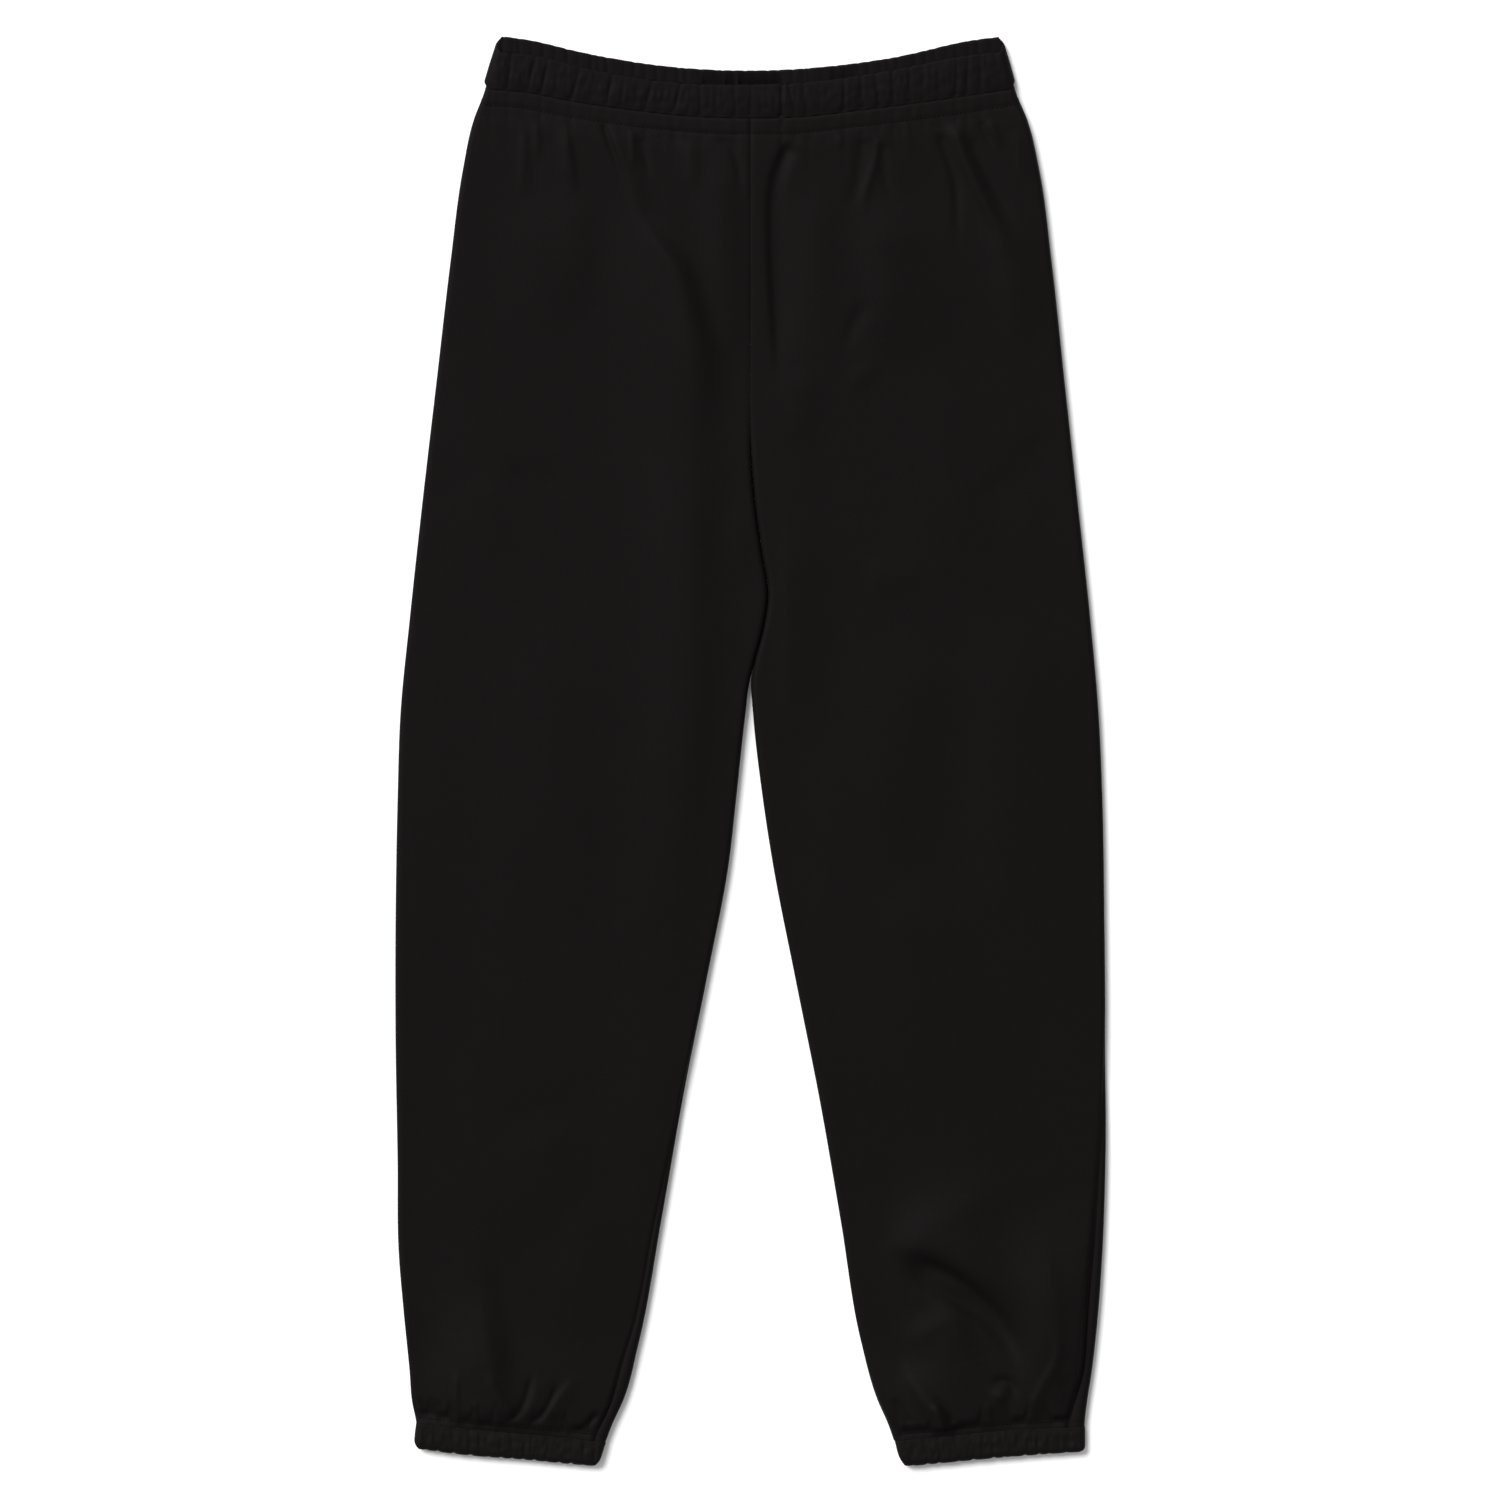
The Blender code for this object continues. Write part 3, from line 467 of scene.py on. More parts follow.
LEFT_FRONT_FOLDS = (
    # The deep tuck beside the centre seam: a steep side, then a long rise to a soft crest.
    Fold(
        ((31, 457), (24, 445), (19, 432), (16, 414), (16, 390), (17, 362), (19, 325), (21, 276)),
        -3.1, 3.2, 8.0, head=0.05, tail=0.5,
    ),
    Fold(((27, 450), (20, 425), (18, 390), (19, 350), (21, 266)), -2.4, 3.6, 21.0, head=0.4, tail=0.45),
    Fold(((38, 462), (32, 448), (28, 436), (26, 424), (28, 408)), 0.7, 2.8, 7.0),
    Fold(((52, 440), (49, 390), (48, 340), (46, 270)), 1.1, 18.0, 16.0),
    # Short gathers under the waistband, from the centre to the side.
    Fold(((66, 463), (68, 450)), 0.7, 2.6),
    Fold(((84, 460), (82, 440), (77, 415), (69, 400)), -1.1, 4.6, 5.0, head=0.1),
    Fold(((97, 466), (94, 444), (89, 428), (85, 414), (87, 396)), 1.15, 2.7, 3.0, head=0.2),
    Fold(((98, 456), (100, 434), (106, 408)), -0.9, 3.2, 4.6, head=0.1),
    Fold(((98, 420), (102, 390), (106, 350), (104, 280)), 2.8, 20.0, 42.0),
    Fold(((117, 473), (119, 455), (121, 440)), 0.6, 3.0, head=0.1),
    Fold(((141, 464), (147, 447), (153, 428), (155, 402), (155, 372)), -1.3, 3.2, 3.6, head=0.08),
    Fold(
        ((150, 475), (159, 447), (168, 426), (177, 407), (187, 388), (195, 368)),
        3.1, 5.2, 6.0, head=0.15, tail=0.4,
    ),
    Fold(((176, 408), (190, 380), (200, 345), (206, 300)), 2.4, 13.0, 16.0, head=0.35),
    Fold(((161, 462), (170, 443), (181, 424), (191, 408), (200, 392)), -1.0, 3.6, 6.0, head=0.15),
    Fold(((178, 475), (183, 463), (189, 450)), 1.0, 2.6),
    Fold(((172, 472), (177, 461), (183, 450)), -0.7, 2.4, head=0.1),
    Fold(((197, 468), (202, 450), (206, 424)), 0.7, 5.0),
    # The hip and thigh, soft and wide.
    Fold(((90, 341), (82, 328), (75, 314), (71, 292)), -0.9, 5.0, 6.0),
    Fold(((74, 270), (86, 284), (101, 285)), 0.6, 7.0),
    Fold(((34, 290), (36, 262), (38, 224)), 1.0, 14.0),
    Fold(((178, 210), (196, 190), (214, 184)), -0.6, 15.0),
    Fold(((206, 240), (214, 216), (212, 186)), -0.5, 15.0),
    Fold(((82, 134), (108, 130), (134, 128)), 0.9, 12.0),
    Fold(((26, 190), (30, 140), (30, 80), (34, 0)), 1.2, 9.0, 24.0),
    Fold(((110, 90), (104, 0), (112, -100)), 1.7, 34.0),
    Fold(((190, 120), (196, -20), (200, -150)), 1.5, 36.0),
    Fold(((120, -80), (132, -180), (140, -270)), 1.4, 34.0),
    # The knocked-in lower leg: a shelf, the deep crease under it, and the domes round that.
    Fold(
        ((94, -374), (114, -370), (134, -362), (160, -349), (190, -336), (218, -326)),
        3.4, 56.0, 24.0, head=0.4, tail=0.55,
    ),
    Fold(
        ((98, -370), (118, -371), (138, -376), (156, -385), (172, -397), (186, -411), (199, -428)),
        3.5, 8.0, 23.0, head=0.25, tail=0.5,
    ),
    Fold(
        ((112, -380), (136, -392), (158, -406), (176, -420), (191, -437), (200, -456), (204, -482)),
        -8.6, 8.4, 9.0, head=0.24, tail=0.64, first=1.25,
    ),
    Fold(((112, -452), (136, -436), (164, -421)), 3.2, 30.0, 13.0, head=0.5, tail=0.3),
    Fold(((146, -420), (164, -430), (186, -450)), 0.8, 22.0, 11.0, head=0.35, tail=0.75),
    Fold(((132, -440), (142, -460), (148, -487), (150, -545)), 3.2, 28.0, 40.0, head=0.35, tail=0.5),
    Fold(
        ((196, -342), (214, -392), (226, -435), (227, -510)),
        7.2, 27.0, 36.0, head=0.5, tail=0.45, first=1.9,
    ),
    Fold(((214, -352), (225, -395), (228, -435), (223, -480)), 1.0, 20.0, 6.0, head=0.5, tail=0.4),
    Fold(
        ((227, -430), (230, -445), (228, -458), (220, -472), (213, -486), (209, -508)),
        1.2, 3.2, 5.0, tail=0.1,
    ),
    # Gathers over the hem.
    Fold(((106, -484), (114, -497), (123, -508)), -1.4, 3.2, tail=0.3),
    Fold(
        ((114, -450), (120, -468), (130, -486), (139, -497), (146, -514)),
        4.0, 6.5, 9.0, head=0.6, tail=0.1, first=0.7,
    ),
    Fold(((137, -486), (141, -498), (144, -514)), 1.9, 4.0, 4.0, tail=0.1),
    Fold(((138, -482), (147, -494), (153, -505)), -1.3, 3.2, head=0.4, tail=0.2),
    Fold(((177, -486), (179, -510)), 1.0, 3.2, tail=0.12),
    Fold(((181, -486), (187, -483), (194, -485)), 1.8, 5.5),
    Fold(((180, -477), (186, -472), (193, -473), (198, -481), (198, -490)), -1.7, 3.4),
    Fold(((232, -466), (238, -486), (240, -504)), -1.3, 6.0),
)

# Under the garment the cloth lies on its resting plane, so its creases only lift off it.
RIGHT_BACK_FOLDS = (
    Fold(((-162, 484), (-166, 450), (-172, 410)), 1.2, 5.0, head=0.1),
    Fold(((-128, 482), (-118, 440), (-96, 380), (-84, 320)), 1.7, 8.0, 5.0, head=0.1),
    Fold(((-86, 476), (-84, 446), (-88, 412)), 1.1, 4.0, head=0.1),
    Fold(((-44, 472), (-48, 430), (-58, 370)), 1.5, 5.0, 8.0, head=0.1),
    Fold(((-20, 300), (-44, 250), (-90, 216)), 1.5, 9.0),
    Fold(((-24, 120), (-70, 96), (-120, 92)), 1.2, 12.0),
    Fold(((-210, 60), (-180, -40), (-184, -150)), 1.2, 16.0),
    Fold(((-100, -120), (-130, -220), (-136, -320)), 1.3, 14.0),
    Fold(((-230, -380), (-196, -404), (-150, -408)), 1.5, 9.0),
    Fold(((-226, -440), (-222, -476), (-222, -502)), 1.4, 5.0, tail=0.12),
    Fold(((-196, -448), (-190, -478), (-192, -504)), 1.6, 4.6, tail=0.12),
    Fold(((-150, -452), (-158, -480), (-156, -506)), 1.5, 5.0, tail=0.12),
    Fold(((-126, -456), (-130, -484), (-128, -508)), 1.3, 4.4, tail=0.12),
)
LEFT_BACK_FOLDS = (
    Fold(((160, 484), (166, 446), (180, 400)), 1.4, 5.0, 7.0, head=0.1),
    Fold(((118, 482), (112, 450), (114, 416)), 1.1, 4.6, head=0.1),
    Fold(((82, 478), (86, 430), (70, 360), (52, 300)), 1.7, 6.0, 9.0, head=0.1),
    Fold(((34, 472), (38, 440), (34, 400)), 1.2, 5.0, head=0.1),
    Fold(((24, 290), (60, 246), (104, 226)), 1.4, 9.0),
    Fold(((36, 110), (84, 92), (140, 100)), 1.2, 12.0),
    Fold(((214, 40), (186, -60), (190, -170)), 1.2, 16.0),
    Fold(((104, -130), (132, -230), (138, -330)), 1.3, 14.0),
    Fold(((110, -396), (160, -400), (226, -374)), 1.6, 9.0),
    Fold(((232, -446), (226, -478), (224, -500)), 1.4, 4.6, tail=0.12),
    Fold(((200, -452), (194, -480), (192, -502)), 1.5, 5.0, tail=0.12),
    Fold(((160, -450), (156, -480), (158, -504)), 1.6, 4.6, tail=0.12),
    Fold(((130, -458), (134, -486), (132, -506)), 1.2, 4.6, tail=0.12),
)


class Wave(NamedTuple):
    """One slow wave of the cloth's own unevenness."""

    length: float
    angle: float
    height: float
    start: float


DRIFT_WAVES = (
    Wave(length=151.0, angle=0.30, height=0.26, start=0.4),
    Wave(length=113.0, angle=-0.22, height=0.18, start=2.1),
    Wave(length=83.0, angle=0.72, height=0.08, start=4.0),
    Wave(length=61.0, angle=-0.08, height=0.05, start=1.2),
    Wave(length=40.0, angle=0.10, height=0.02, start=5.1),
)


def drift(x: Array, y: Array) -> Array:
    """The slow unevenness of cloth laid by hand: a sum of sines in several directions."""
    total = np.zeros_like(x)
    for wave in DRIFT_WAVES:
        along = x * math.cos(wave.angle) + y * math.sin(wave.angle)
        total += wave.height * np.sin(2 * math.pi * along / wave.length + wave.start)
    return total


# --- Gathers ---


@dataclass(frozen=True)
class Pinch:
    """A valley between two gathers: its x at the free end and at the seam, and its depth."""

    rim: float
    seam: float
    depth: float = 1.0


WAIST_PINCHES = (
    Pinch(-192.0, -195.0, 0.6), Pinch(-179.0, -181.5), Pinch(-161.0, -167.0), Pinch(-151.5, -157.0),
    Pinch(-142.0, -147.0, 0.25), Pinch(-127.5, -134.5), Pinch(-115.5, -120.0, 0.2),
    Pinch(-103.5, -108.0), Pinch(-94.0, -97.5, 0.45), Pinch(-83.5, -87.0, 0.25),
    Pinch(-73.5, -79.0), Pinch(-64.0, -67.0, 0.45), Pinch(-52.0, -58.0), Pinch(-44.0, -47.0, 0.3),
    Pinch(-38.0, -37.5), Pinch(-25.0, -24.0, 0.2), Pinch(-12.5, -11.0, 0.7), Pinch(0.5, 0.0, 0.7),
    Pinch(12.0, 11.5, 0.15), Pinch(23.5, 23.5, 1.5), Pinch(28.5, 34.0), Pinch(39.0, 43.5),
    Pinch(58.5, 57.0, 0.35), Pinch(70.0, 70.5), Pinch(82.5, 84.0), Pinch(93.0, 97.0),
    Pinch(106.0, 107.5), Pinch(118.5, 120.0), Pinch(129.0, 130.0, 0.55), Pinch(141.0, 142.5, 0.3),
    Pinch(154.5, 154.0), Pinch(163.0, 162.0), Pinch(172.5, 173.5, 0.7), Pinch(183.0, 185.5, 0.3),
)
RIGHT_CUFF_PINCHES = (
    Pinch(-243.0, -244.0, 0.5), Pinch(-234.5, -234.5), Pinch(-222.5, -223.0), Pinch(-210.0, -210.0),
    Pinch(-196.0, -195.0, 0.7), Pinch(-187.0, -187.0, 0.8), Pinch(-178.5, -178.0),
    Pinch(-170.5, -168.5, 0.7), Pinch(-162.0, -160.0), Pinch(-153.5, -151.5, 0.7),
    Pinch(-143.5, -142.0, 0.8), Pinch(-134.5, -133.5, 0.9), Pinch(-125.5, -124.5, 0.6),
    Pinch(-117.0, -115.5, 0.5),
)
LEFT_CUFF_PINCHES = (
    Pinch(121.5, 119.0, 0.5), Pinch(133.0, 132.0, 0.9), Pinch(141.5, 142.0), Pinch(156.5, 154.0),
    Pinch(167.0, 166.0, 0.8), Pinch(182.5, 181.0), Pinch(190.5, 187.5), Pinch(196.0, 193.5, 0.9),
    Pinch(205.5, 203.5), Pinch(216.5, 213.0), Pinch(224.0, 224.0, 0.8), Pinch(237.0, 238.0, 0.9),
)
# Over the hem, a pinch's rim is the valley's x where it has come PINCH_RISE up the leg.
RIGHT_HEM_PINCHES = (
    Pinch(-247.0, -240.0, 0.7), Pinch(-236.0, -229.0, 0.5), Pinch(-221.0, -220.0),
    Pinch(-206.0, -205.0, 0.7), Pinch(-194.0, -192.0, 0.5), Pinch(-172.0, -181.0),
    Pinch(-163.0, -172.0, 0.7), Pinch(-142.0, -155.0), Pinch(-124.0, -128.0, 0.5),
    Pinch(-108.0, -114.0, 0.8),
)
LEFT_HEM_PINCHES = (
    Pinch(102.0, 112.0, 0.7), Pinch(122.0, 145.0), Pinch(176.0, 178.0), Pinch(196.0, 193.0, 0.6),
    Pinch(214.0, 209.0), Pinch(228.0, 226.0, 0.5), Pinch(242.0, 244.0, 0.6),
)
PINCH_RISE = 30.0
PINCH_END = 1.6  # past this many times as far up, the valleys run straight up the leg


class Pocket(NamedTuple):
    """A stretch of the hem where the leg stands up steeply over its cuff, with a dark foot."""

    low: float
    high: float
    depth: float = 1.0


RIGHT_HEM_POCKETS = (
    Pocket(-252.0, -240.0, 0.8), Pocket(-237.0, -225.0, 0.8), Pocket(-219.0, -207.0, 0.7),
    Pocket(-204.0, -191.0, 0.65), Pocket(-189.0, -176.0, 0.4), Pocket(-172.0, -161.0, 0.35),
    Pocket(-147.0, -138.0, 0.5), Pocket(-138.0, -119.0, 0.8),
)
LEFT_HEM_POCKETS = (
    Pocket(110.0, 136.0, 0.8), Pocket(150.0, 173.0, 0.8), Pocket(193.0, 208.0, 0.8),
    Pocket(223.0, 244.0, 0.9),
)
POCKET_END = 4.0  # a pocket's depth fades out over this at each end


def pocket_share(x: Array, pockets: tuple[Pocket, ...]) -> Array:
    """How steeply the leg stands up at x, from 0 to 1, with soft ends to each pocket."""
    total = np.zeros_like(x)
    for pocket in pockets:
        within = smooth_step((x - pocket.low) / POCKET_END)
        within = within * smooth_step((pocket.high - x) / POCKET_END)
        total += pocket.depth * within
    return np.clip(total, 0.0, 1.0)


def even_pinches(count: int, low: float, high: float, phase: float, lean: float) -> tuple[Pinch, ...]:
    """Pinches in an uneven rhythm between two ends, clear of both.

    The gaps vary as 1 + 0.24 (sin(2.4 i + phase) + 0.6 sin(5.3 i + phase)).

    Args:
        count: how many pinches.
        low, high: the x of the two ends.
        phase: where the rhythm starts.
        lean: how far a pinch may lean from its seam to its rim.

    Returns:
        The pinches, from low to high.
    """
    index = np.arange(count + 1)
    gaps = 1 + 0.24 * (np.sin(2.4 * index + phase) + 0.6 * np.sin(5.3 * index + phase))
    places = low + (high - low) * np.cumsum(gaps)[:-1] / gaps.sum()
    leans = lean * np.sin(1.7 * index[:-1] + phase)
    depths = 0.75 + 0.25 * np.sin(3.1 * index[:-1] + 2 * phase)
    return tuple(
        Pinch(float(x + turn), float(x), float(depth))
        for x, turn, depth in zip(places, leans, depths)
    )


END_VALLEY_AWAY = 12.0  # a last valley lies this far past the first and the last pinch,
END_VALLEY_DEPTH = 0.4  # and is this deep
FULL_GATHER = 11.0  # a gather this wide or wider stands at its full height
NARROWEST = 0.3  # the share of that width at which a gather's height falls no further
CREASE_SHARE = 0.6  # of a valley's depth; the rest is its hollow
BAND_DEPTH = 22.0  # about how deep a casing is, from its seam to its rim


def puff_of(x: Array, share: Array, pinches: tuple[Pinch, ...], valley: float = 1.5) -> Array:
    """How far up its gather a point lies, from 0 in a full valley to 1 on the gather's crown.

    Each valley is a narrow crease, e to the minus (d / valley) squared of the distance d to its
    line, in a wide hollow, |2p - 1|^3 with p running from 0 to 1 between two lines.

    Args:
        x: across the garment.
        share: 0 at the seam and 1 at the rim, of the same shape as x.
        pinches: the valleys, from low to high x.
        valley: the soft half width of a crease.

    Returns:
        The puff at each point.
    """
    seam = np.array([pinch.seam for pinch in pinches])
    rim = np.array([pinch.rim for pinch in pinches])
    ends = [END_VALLEY_DEPTH]
    depth = np.concatenate([ends, [pinch.depth for pinch in pinches], ends])
    lines = seam + (rim - seam) * share[..., None]
    before = lines[..., :1] - END_VALLEY_AWAY
    after = lines[..., -1:] + END_VALLEY_AWAY
    lines = np.concatenate([before, lines, after], axis=-1)
    cell = np.clip((x[..., None] > lines).sum(axis=-1), 1, lines.shape[-1] - 1)
    low = np.take_along_axis(lines, cell[..., None] - 1, axis=-1)[..., 0]
    high = np.take_along_axis(lines, cell[..., None], axis=-1)[..., 0]
    phase = np.clip((x - low) / (high - low), 0.0, 1.0)
    crown = 1 - np.abs(2 * phase - 1) ** 3
    full = np.clip((high - low) / FULL_GATHER, NARROWEST, 1.0) ** 0.5
    sink = depth[cell - 1] + (depth[cell] - depth[cell - 1]) * smooth_step(phase)
    crease = bell(np.minimum(phase, 1 - phase) * (high - low), valley)
    uneven = 0.65 + 0.8 * value_noise(x, BAND_DEPTH * share, VALLEY_GRAIN)
    crease = crease * np.clip(uneven, 0.0, 1.2)
    return 1 - sink * (CREASE_SHARE * crease + (1 - CREASE_SHARE) * (1 - crown * full))


BACK_WAIST_PINCHES = even_pinches(46, -197.0, 197.0, 0.7, 1.5)
RIGHT_BACK_HEM_PINCHES = even_pinches(10, -250.0, -106.0, 0.3, 5.0)
LEFT_BACK_HEM_PINCHES = even_pinches(10, 106.0, 250.0, 1.9, 5.0)
RIGHT_BACK_CUFF_PINCHES = even_pinches(15, -250.0, -108.0, 1.1, 1.2)
LEFT_BACK_CUFF_PINCHES = even_pinches(15, 108.0, 250.0, 2.3, 1.2)
BACK_POCKET_GAP = 3.0  # from a pinch of the back to the pocket beside it


def pockets_between(pinches: tuple[Pinch, ...]) -> tuple[Pocket, ...]:
    """A pocket between each two pinches."""
    return tuple(
        Pocket(low.seam + BACK_POCKET_GAP, high.seam - BACK_POCKET_GAP, low.depth)
        for low, high in zip(pinches, pinches[1:])
    )


# --- Meshes ---


def quads(a: Array, b: Array, c: Array, d: Array) -> Array:
    """Faces of four corners, from four equal grids of point numbers."""
    return np.stack([a.ravel(), b.ravel(), c.ravel(), d.ravel()], axis=-1)


def wall_faces(rows: int, columns: int) -> Array:
    """The faces of a closed wall between two grids of rows x columns points, outer grid first."""
    index = np.arange(rows * columns).reshape(rows, columns)
    under = index + rows * columns
    return np.concatenate(
        [
            quads(index[:-1, :-1], index[1:, :-1], index[1:, 1:], index[:-1, 1:]),
            quads(under[:-1, :-1], under[:-1, 1:], under[1:, 1:], under[1:, :-1]),
            quads(index[0, :-1], index[0, 1:], under[0, 1:], under[0, :-1]),
            quads(index[-1, :-1], under[-1, :-1], under[-1, 1:], index[-1, 1:]),
            quads(index[:-1, 0], under[:-1, 0], under[1:, 0], index[1:, 0]),
            quads(index[:-1, -1], index[1:, -1], under[1:, -1], under[:-1, -1]),
        ]
    )


def ring_faces(rows: int, columns: int) -> Array:
    """The faces of a grid that closes on itself both ways."""
    index = np.arange(rows * columns).reshape(rows, columns)
    index = np.concatenate([index, index[:, :1]], axis=1)
    index = np.concatenate([index, index[:1]], axis=0)
    return quads(index[:-1, :-1], index[1:, :-1], index[1:, 1:], index[:-1, 1:])


def signed_volume(points: Array, faces: Array) -> float:
    """Positive where the faces point out of the solid."""
    a, b, c, d = (points[faces[:, corner]] for corner in range(4))
    return float((a * np.cross(b, c)).sum() + (a * np.cross(c, d)).sum())


SHARP_ANGLE = math.radians(70)


def new_piece(
    name: str, points: Array, faces: Array, uv: Array, material: bpy.types.Material
) -> bpy.types.Object:
    """One smooth mesh object at the origin, with its faces turned outward.

    Args:
        name: the object's name.
        points: its points, in millimetres.
        faces: four point numbers for each face.
        uv: a pair for each point, in millimetres along the cloth.
        material: its finish.

    Returns:
        The object, linked to the scene.
    """
    points = points.reshape(-1, 3) * MM
    if signed_volume(points, faces) < 0:
        faces = faces[:, ::-1]
    mesh = bpy.data.meshes.new(name)
    mesh.from_pydata(points.tolist(), [], faces.tolist())
    layer = mesh.uv_layers.new(name="cloth")
    layer.data.foreach_set("uv", (uv.reshape(-1, 2)[faces.ravel()] * MM).ravel())
    mesh.shade_smooth()
    mesh.set_sharp_from_angle(angle=SHARP_ANGLE)
    mesh.materials.append(material)
    piece = bpy.data.objects.new(name, mesh)
    bpy.context.scene.collection.objects.link(piece)
    return piece


def surface_area(points: Array) -> float:
    """The area of a grid of points in mm, in square metres."""
    across = points[:-1, 1:] - points[:-1, :-1]
    down = points[1:, :-1] - points[:-1, :-1]
    return float(np.linalg.norm(np.cross(across, down), axis=-1).sum()) * MM**2


# --- Finishes ---


class Nodes:
    """A material's node tree, with short ways to add and join its nodes."""

    def __init__(self, name: str) -> None:
        """Starts a material with only its output and its shader."""
        self.material = bpy.data.materials.new(name)
        self.material.use_nodes = True
        self.tree = self.material.node_tree
        self.shader = self.tree.nodes["Principled BSDF"]

    def add(self, kind: str, **settings: object) -> bpy.types.Node:
        """A new node with its settings."""
        node = self.tree.nodes.new(kind)
        for key, value in settings.items():
            setattr(node, key, value)
        return node

    def join(self, source: object, target: object) -> None:
        """Links an output to an input."""
        self.tree.links.new(source, target)

    def math(self, operation: str, *values: object) -> object:
        """A Math node's result; each value is a number or another node's output."""
        node = self.add("ShaderNodeMath", operation=operation)
        for socket, value in zip(node.inputs, values):
            if isinstance(value, (int, float)):
                socket.default_value = value
            else:
                self.join(value, socket)
        return node.outputs[0]

    def noise(self, vector: object, scale: float, detail: float, roughness: float = 0.5) -> object:
        """A Noise Texture's value, from about 0.3 to 0.7, on the given coordinates."""
        node = self.add("ShaderNodeTexNoise")
        node.inputs["Scale"].default_value = scale
        node.inputs["Detail"].default_value = detail
        node.inputs["Roughness"].default_value = roughness
        self.join(vector, node.inputs["Vector"])
        return node.outputs["Fac"]

    def stretched(self, vector: object, scale: tuple[float, float, float]) -> object:
        """The coordinates scaled along each axis."""
        node = self.add("ShaderNodeMapping")
        node.inputs["Scale"].default_value = scale
        self.join(vector, node.inputs["Vector"])
        return node.outputs["Vector"]

    def mix(self, share: object, low: Colour, high: Colour) -> object:
        """A colour between two."""
        node = self.add("ShaderNodeMix", data_type="RGBA")
        self.join(share, node.inputs["Factor"])
        node.inputs["A"].default_value = low
        node.inputs["B"].default_value = high
        return node.outputs["Result"]

    def bump(self, height: object, distance: float, strength: float, under: object = None) -> object:
        """A Bump node's normal, over another bump's if one is given."""
        node = self.add("ShaderNodeBump")
        node.inputs["Distance"].default_value = distance
        node.inputs["Strength"].default_value = strength
        self.join(height, node.inputs["Height"])
        if under is not None:
            self.join(under, node.inputs["Normal"])
        return node.outputs["Normal"]


@dataclass(frozen=True)
class FleeceFinish:
    """Black cotton fleece: a fine knitted face with a short nap and a slight mottle.

    Attributes:
        name: the material's name.
        dark, light: the two blacks that the mottle runs between.
        roughness: of the cloth.
        gloss: the specular level, low because loose fibres break up the shine.
        sheen: the weight of the nap's soft sheen.
        wale: the width of one column of knitting, in mm.
        course: the height of one row of knitting, in mm.
        wander: how far a wale wanders, in mm.
        knit_depth, knit_share: how far the knitting stands up, in mm, and how much of it shows.
        nap_depth, nap_share: the same for the nap.
        wander_scale, mottle_scale, nap_scale: how many of their blotches go into a metre.
        streak_scales: the same for the streaks along the cloth, on each axis.
    """

    name: str
    dark: Colour = (0.0034, 0.00248, 0.00257, 1.0)
    light: Colour = (0.0042, 0.00317, 0.00325, 1.0)
    roughness: float = 0.58
    gloss: float = 0.036
    sheen: float = 0.006
    wale: float = 0.62
    course: float = 0.5
    wander: float = 2.0
    knit_depth: float = 0.06
    knit_share: float = 0.35
    nap_depth: float = 0.14
    nap_share: float = 0.6
    wander_scale: float = 90.0
    mottle_scale: float = 28.0
    nap_scale: float = 900.0
    streak_scales: tuple[float, float, float] = (420.0, 60.0, 420.0)

    def knit_and_nap(self, nodes: Nodes, place: object) -> tuple[object, object]:
        """The heights of the knitting and of the nap.

        Each wale is a rounded rib that wanders a little, broken by its courses.
        """
        weave = nodes.add("ShaderNodeSeparateXYZ")
        nodes.join(place["UV"], weave.inputs[0])
        across, along = weave.outputs[0], weave.outputs[1]
        turn = 2 * math.pi / MM
        wander = nodes.noise(place["Object"], self.wander_scale, 2.0)
        across = nodes.math("MULTIPLY_ADD", wander, self.wander * MM, across)
        wales = nodes.math("SINE", nodes.math("MULTIPLY", across, turn / self.wale))
        courses = nodes.math("SINE", nodes.math("MULTIPLY", along, turn / self.course))
        knit = nodes.math("MULTIPLY_ADD", courses, 0.4, wales)
        return knit, nodes.noise(place["Object"], self.nap_scale, 3.0, 0.65)

    def tone(self, nodes: Nodes, place: object, nap: object) -> object:
        """Where a spot lies between the dark and the light: mottle, nap and streaks together."""
        mottle = nodes.noise(place["Object"], self.mottle_scale, 4.0, 0.6)
        streaks = nodes.noise(nodes.stretched(place["Object"], self.streak_scales), 1.0, 2.0)
        tone = nodes.math("ADD", nodes.math("MULTIPLY", mottle, 0.7), nodes.math("MULTIPLY", nap, 0.5))
        tone = nodes.math("MULTIPLY_ADD", streaks, 0.4, tone)
        return nodes.math("SUBTRACT", tone, 0.3)

    def material(self) -> bpy.types.Material:
        """The finish as a node material."""
        nodes = Nodes(self.name)
        place = nodes.add("ShaderNodeTexCoord").outputs
        knit, nap = self.knit_and_nap(nodes, place)
        tone = self.tone(nodes, place, nap)
        nodes.join(nodes.mix(tone, self.dark, self.light), nodes.shader.inputs["Base Color"])
        normal = nodes.bump(knit, self.knit_depth * MM, self.knit_share)
        normal = nodes.bump(nap, self.nap_depth * MM, self.nap_share, normal)
        nodes.join(normal, nodes.shader.inputs["Normal"])
        set_cloth_shader(nodes.shader, self.roughness, self.gloss, self.sheen)
        return nodes.material


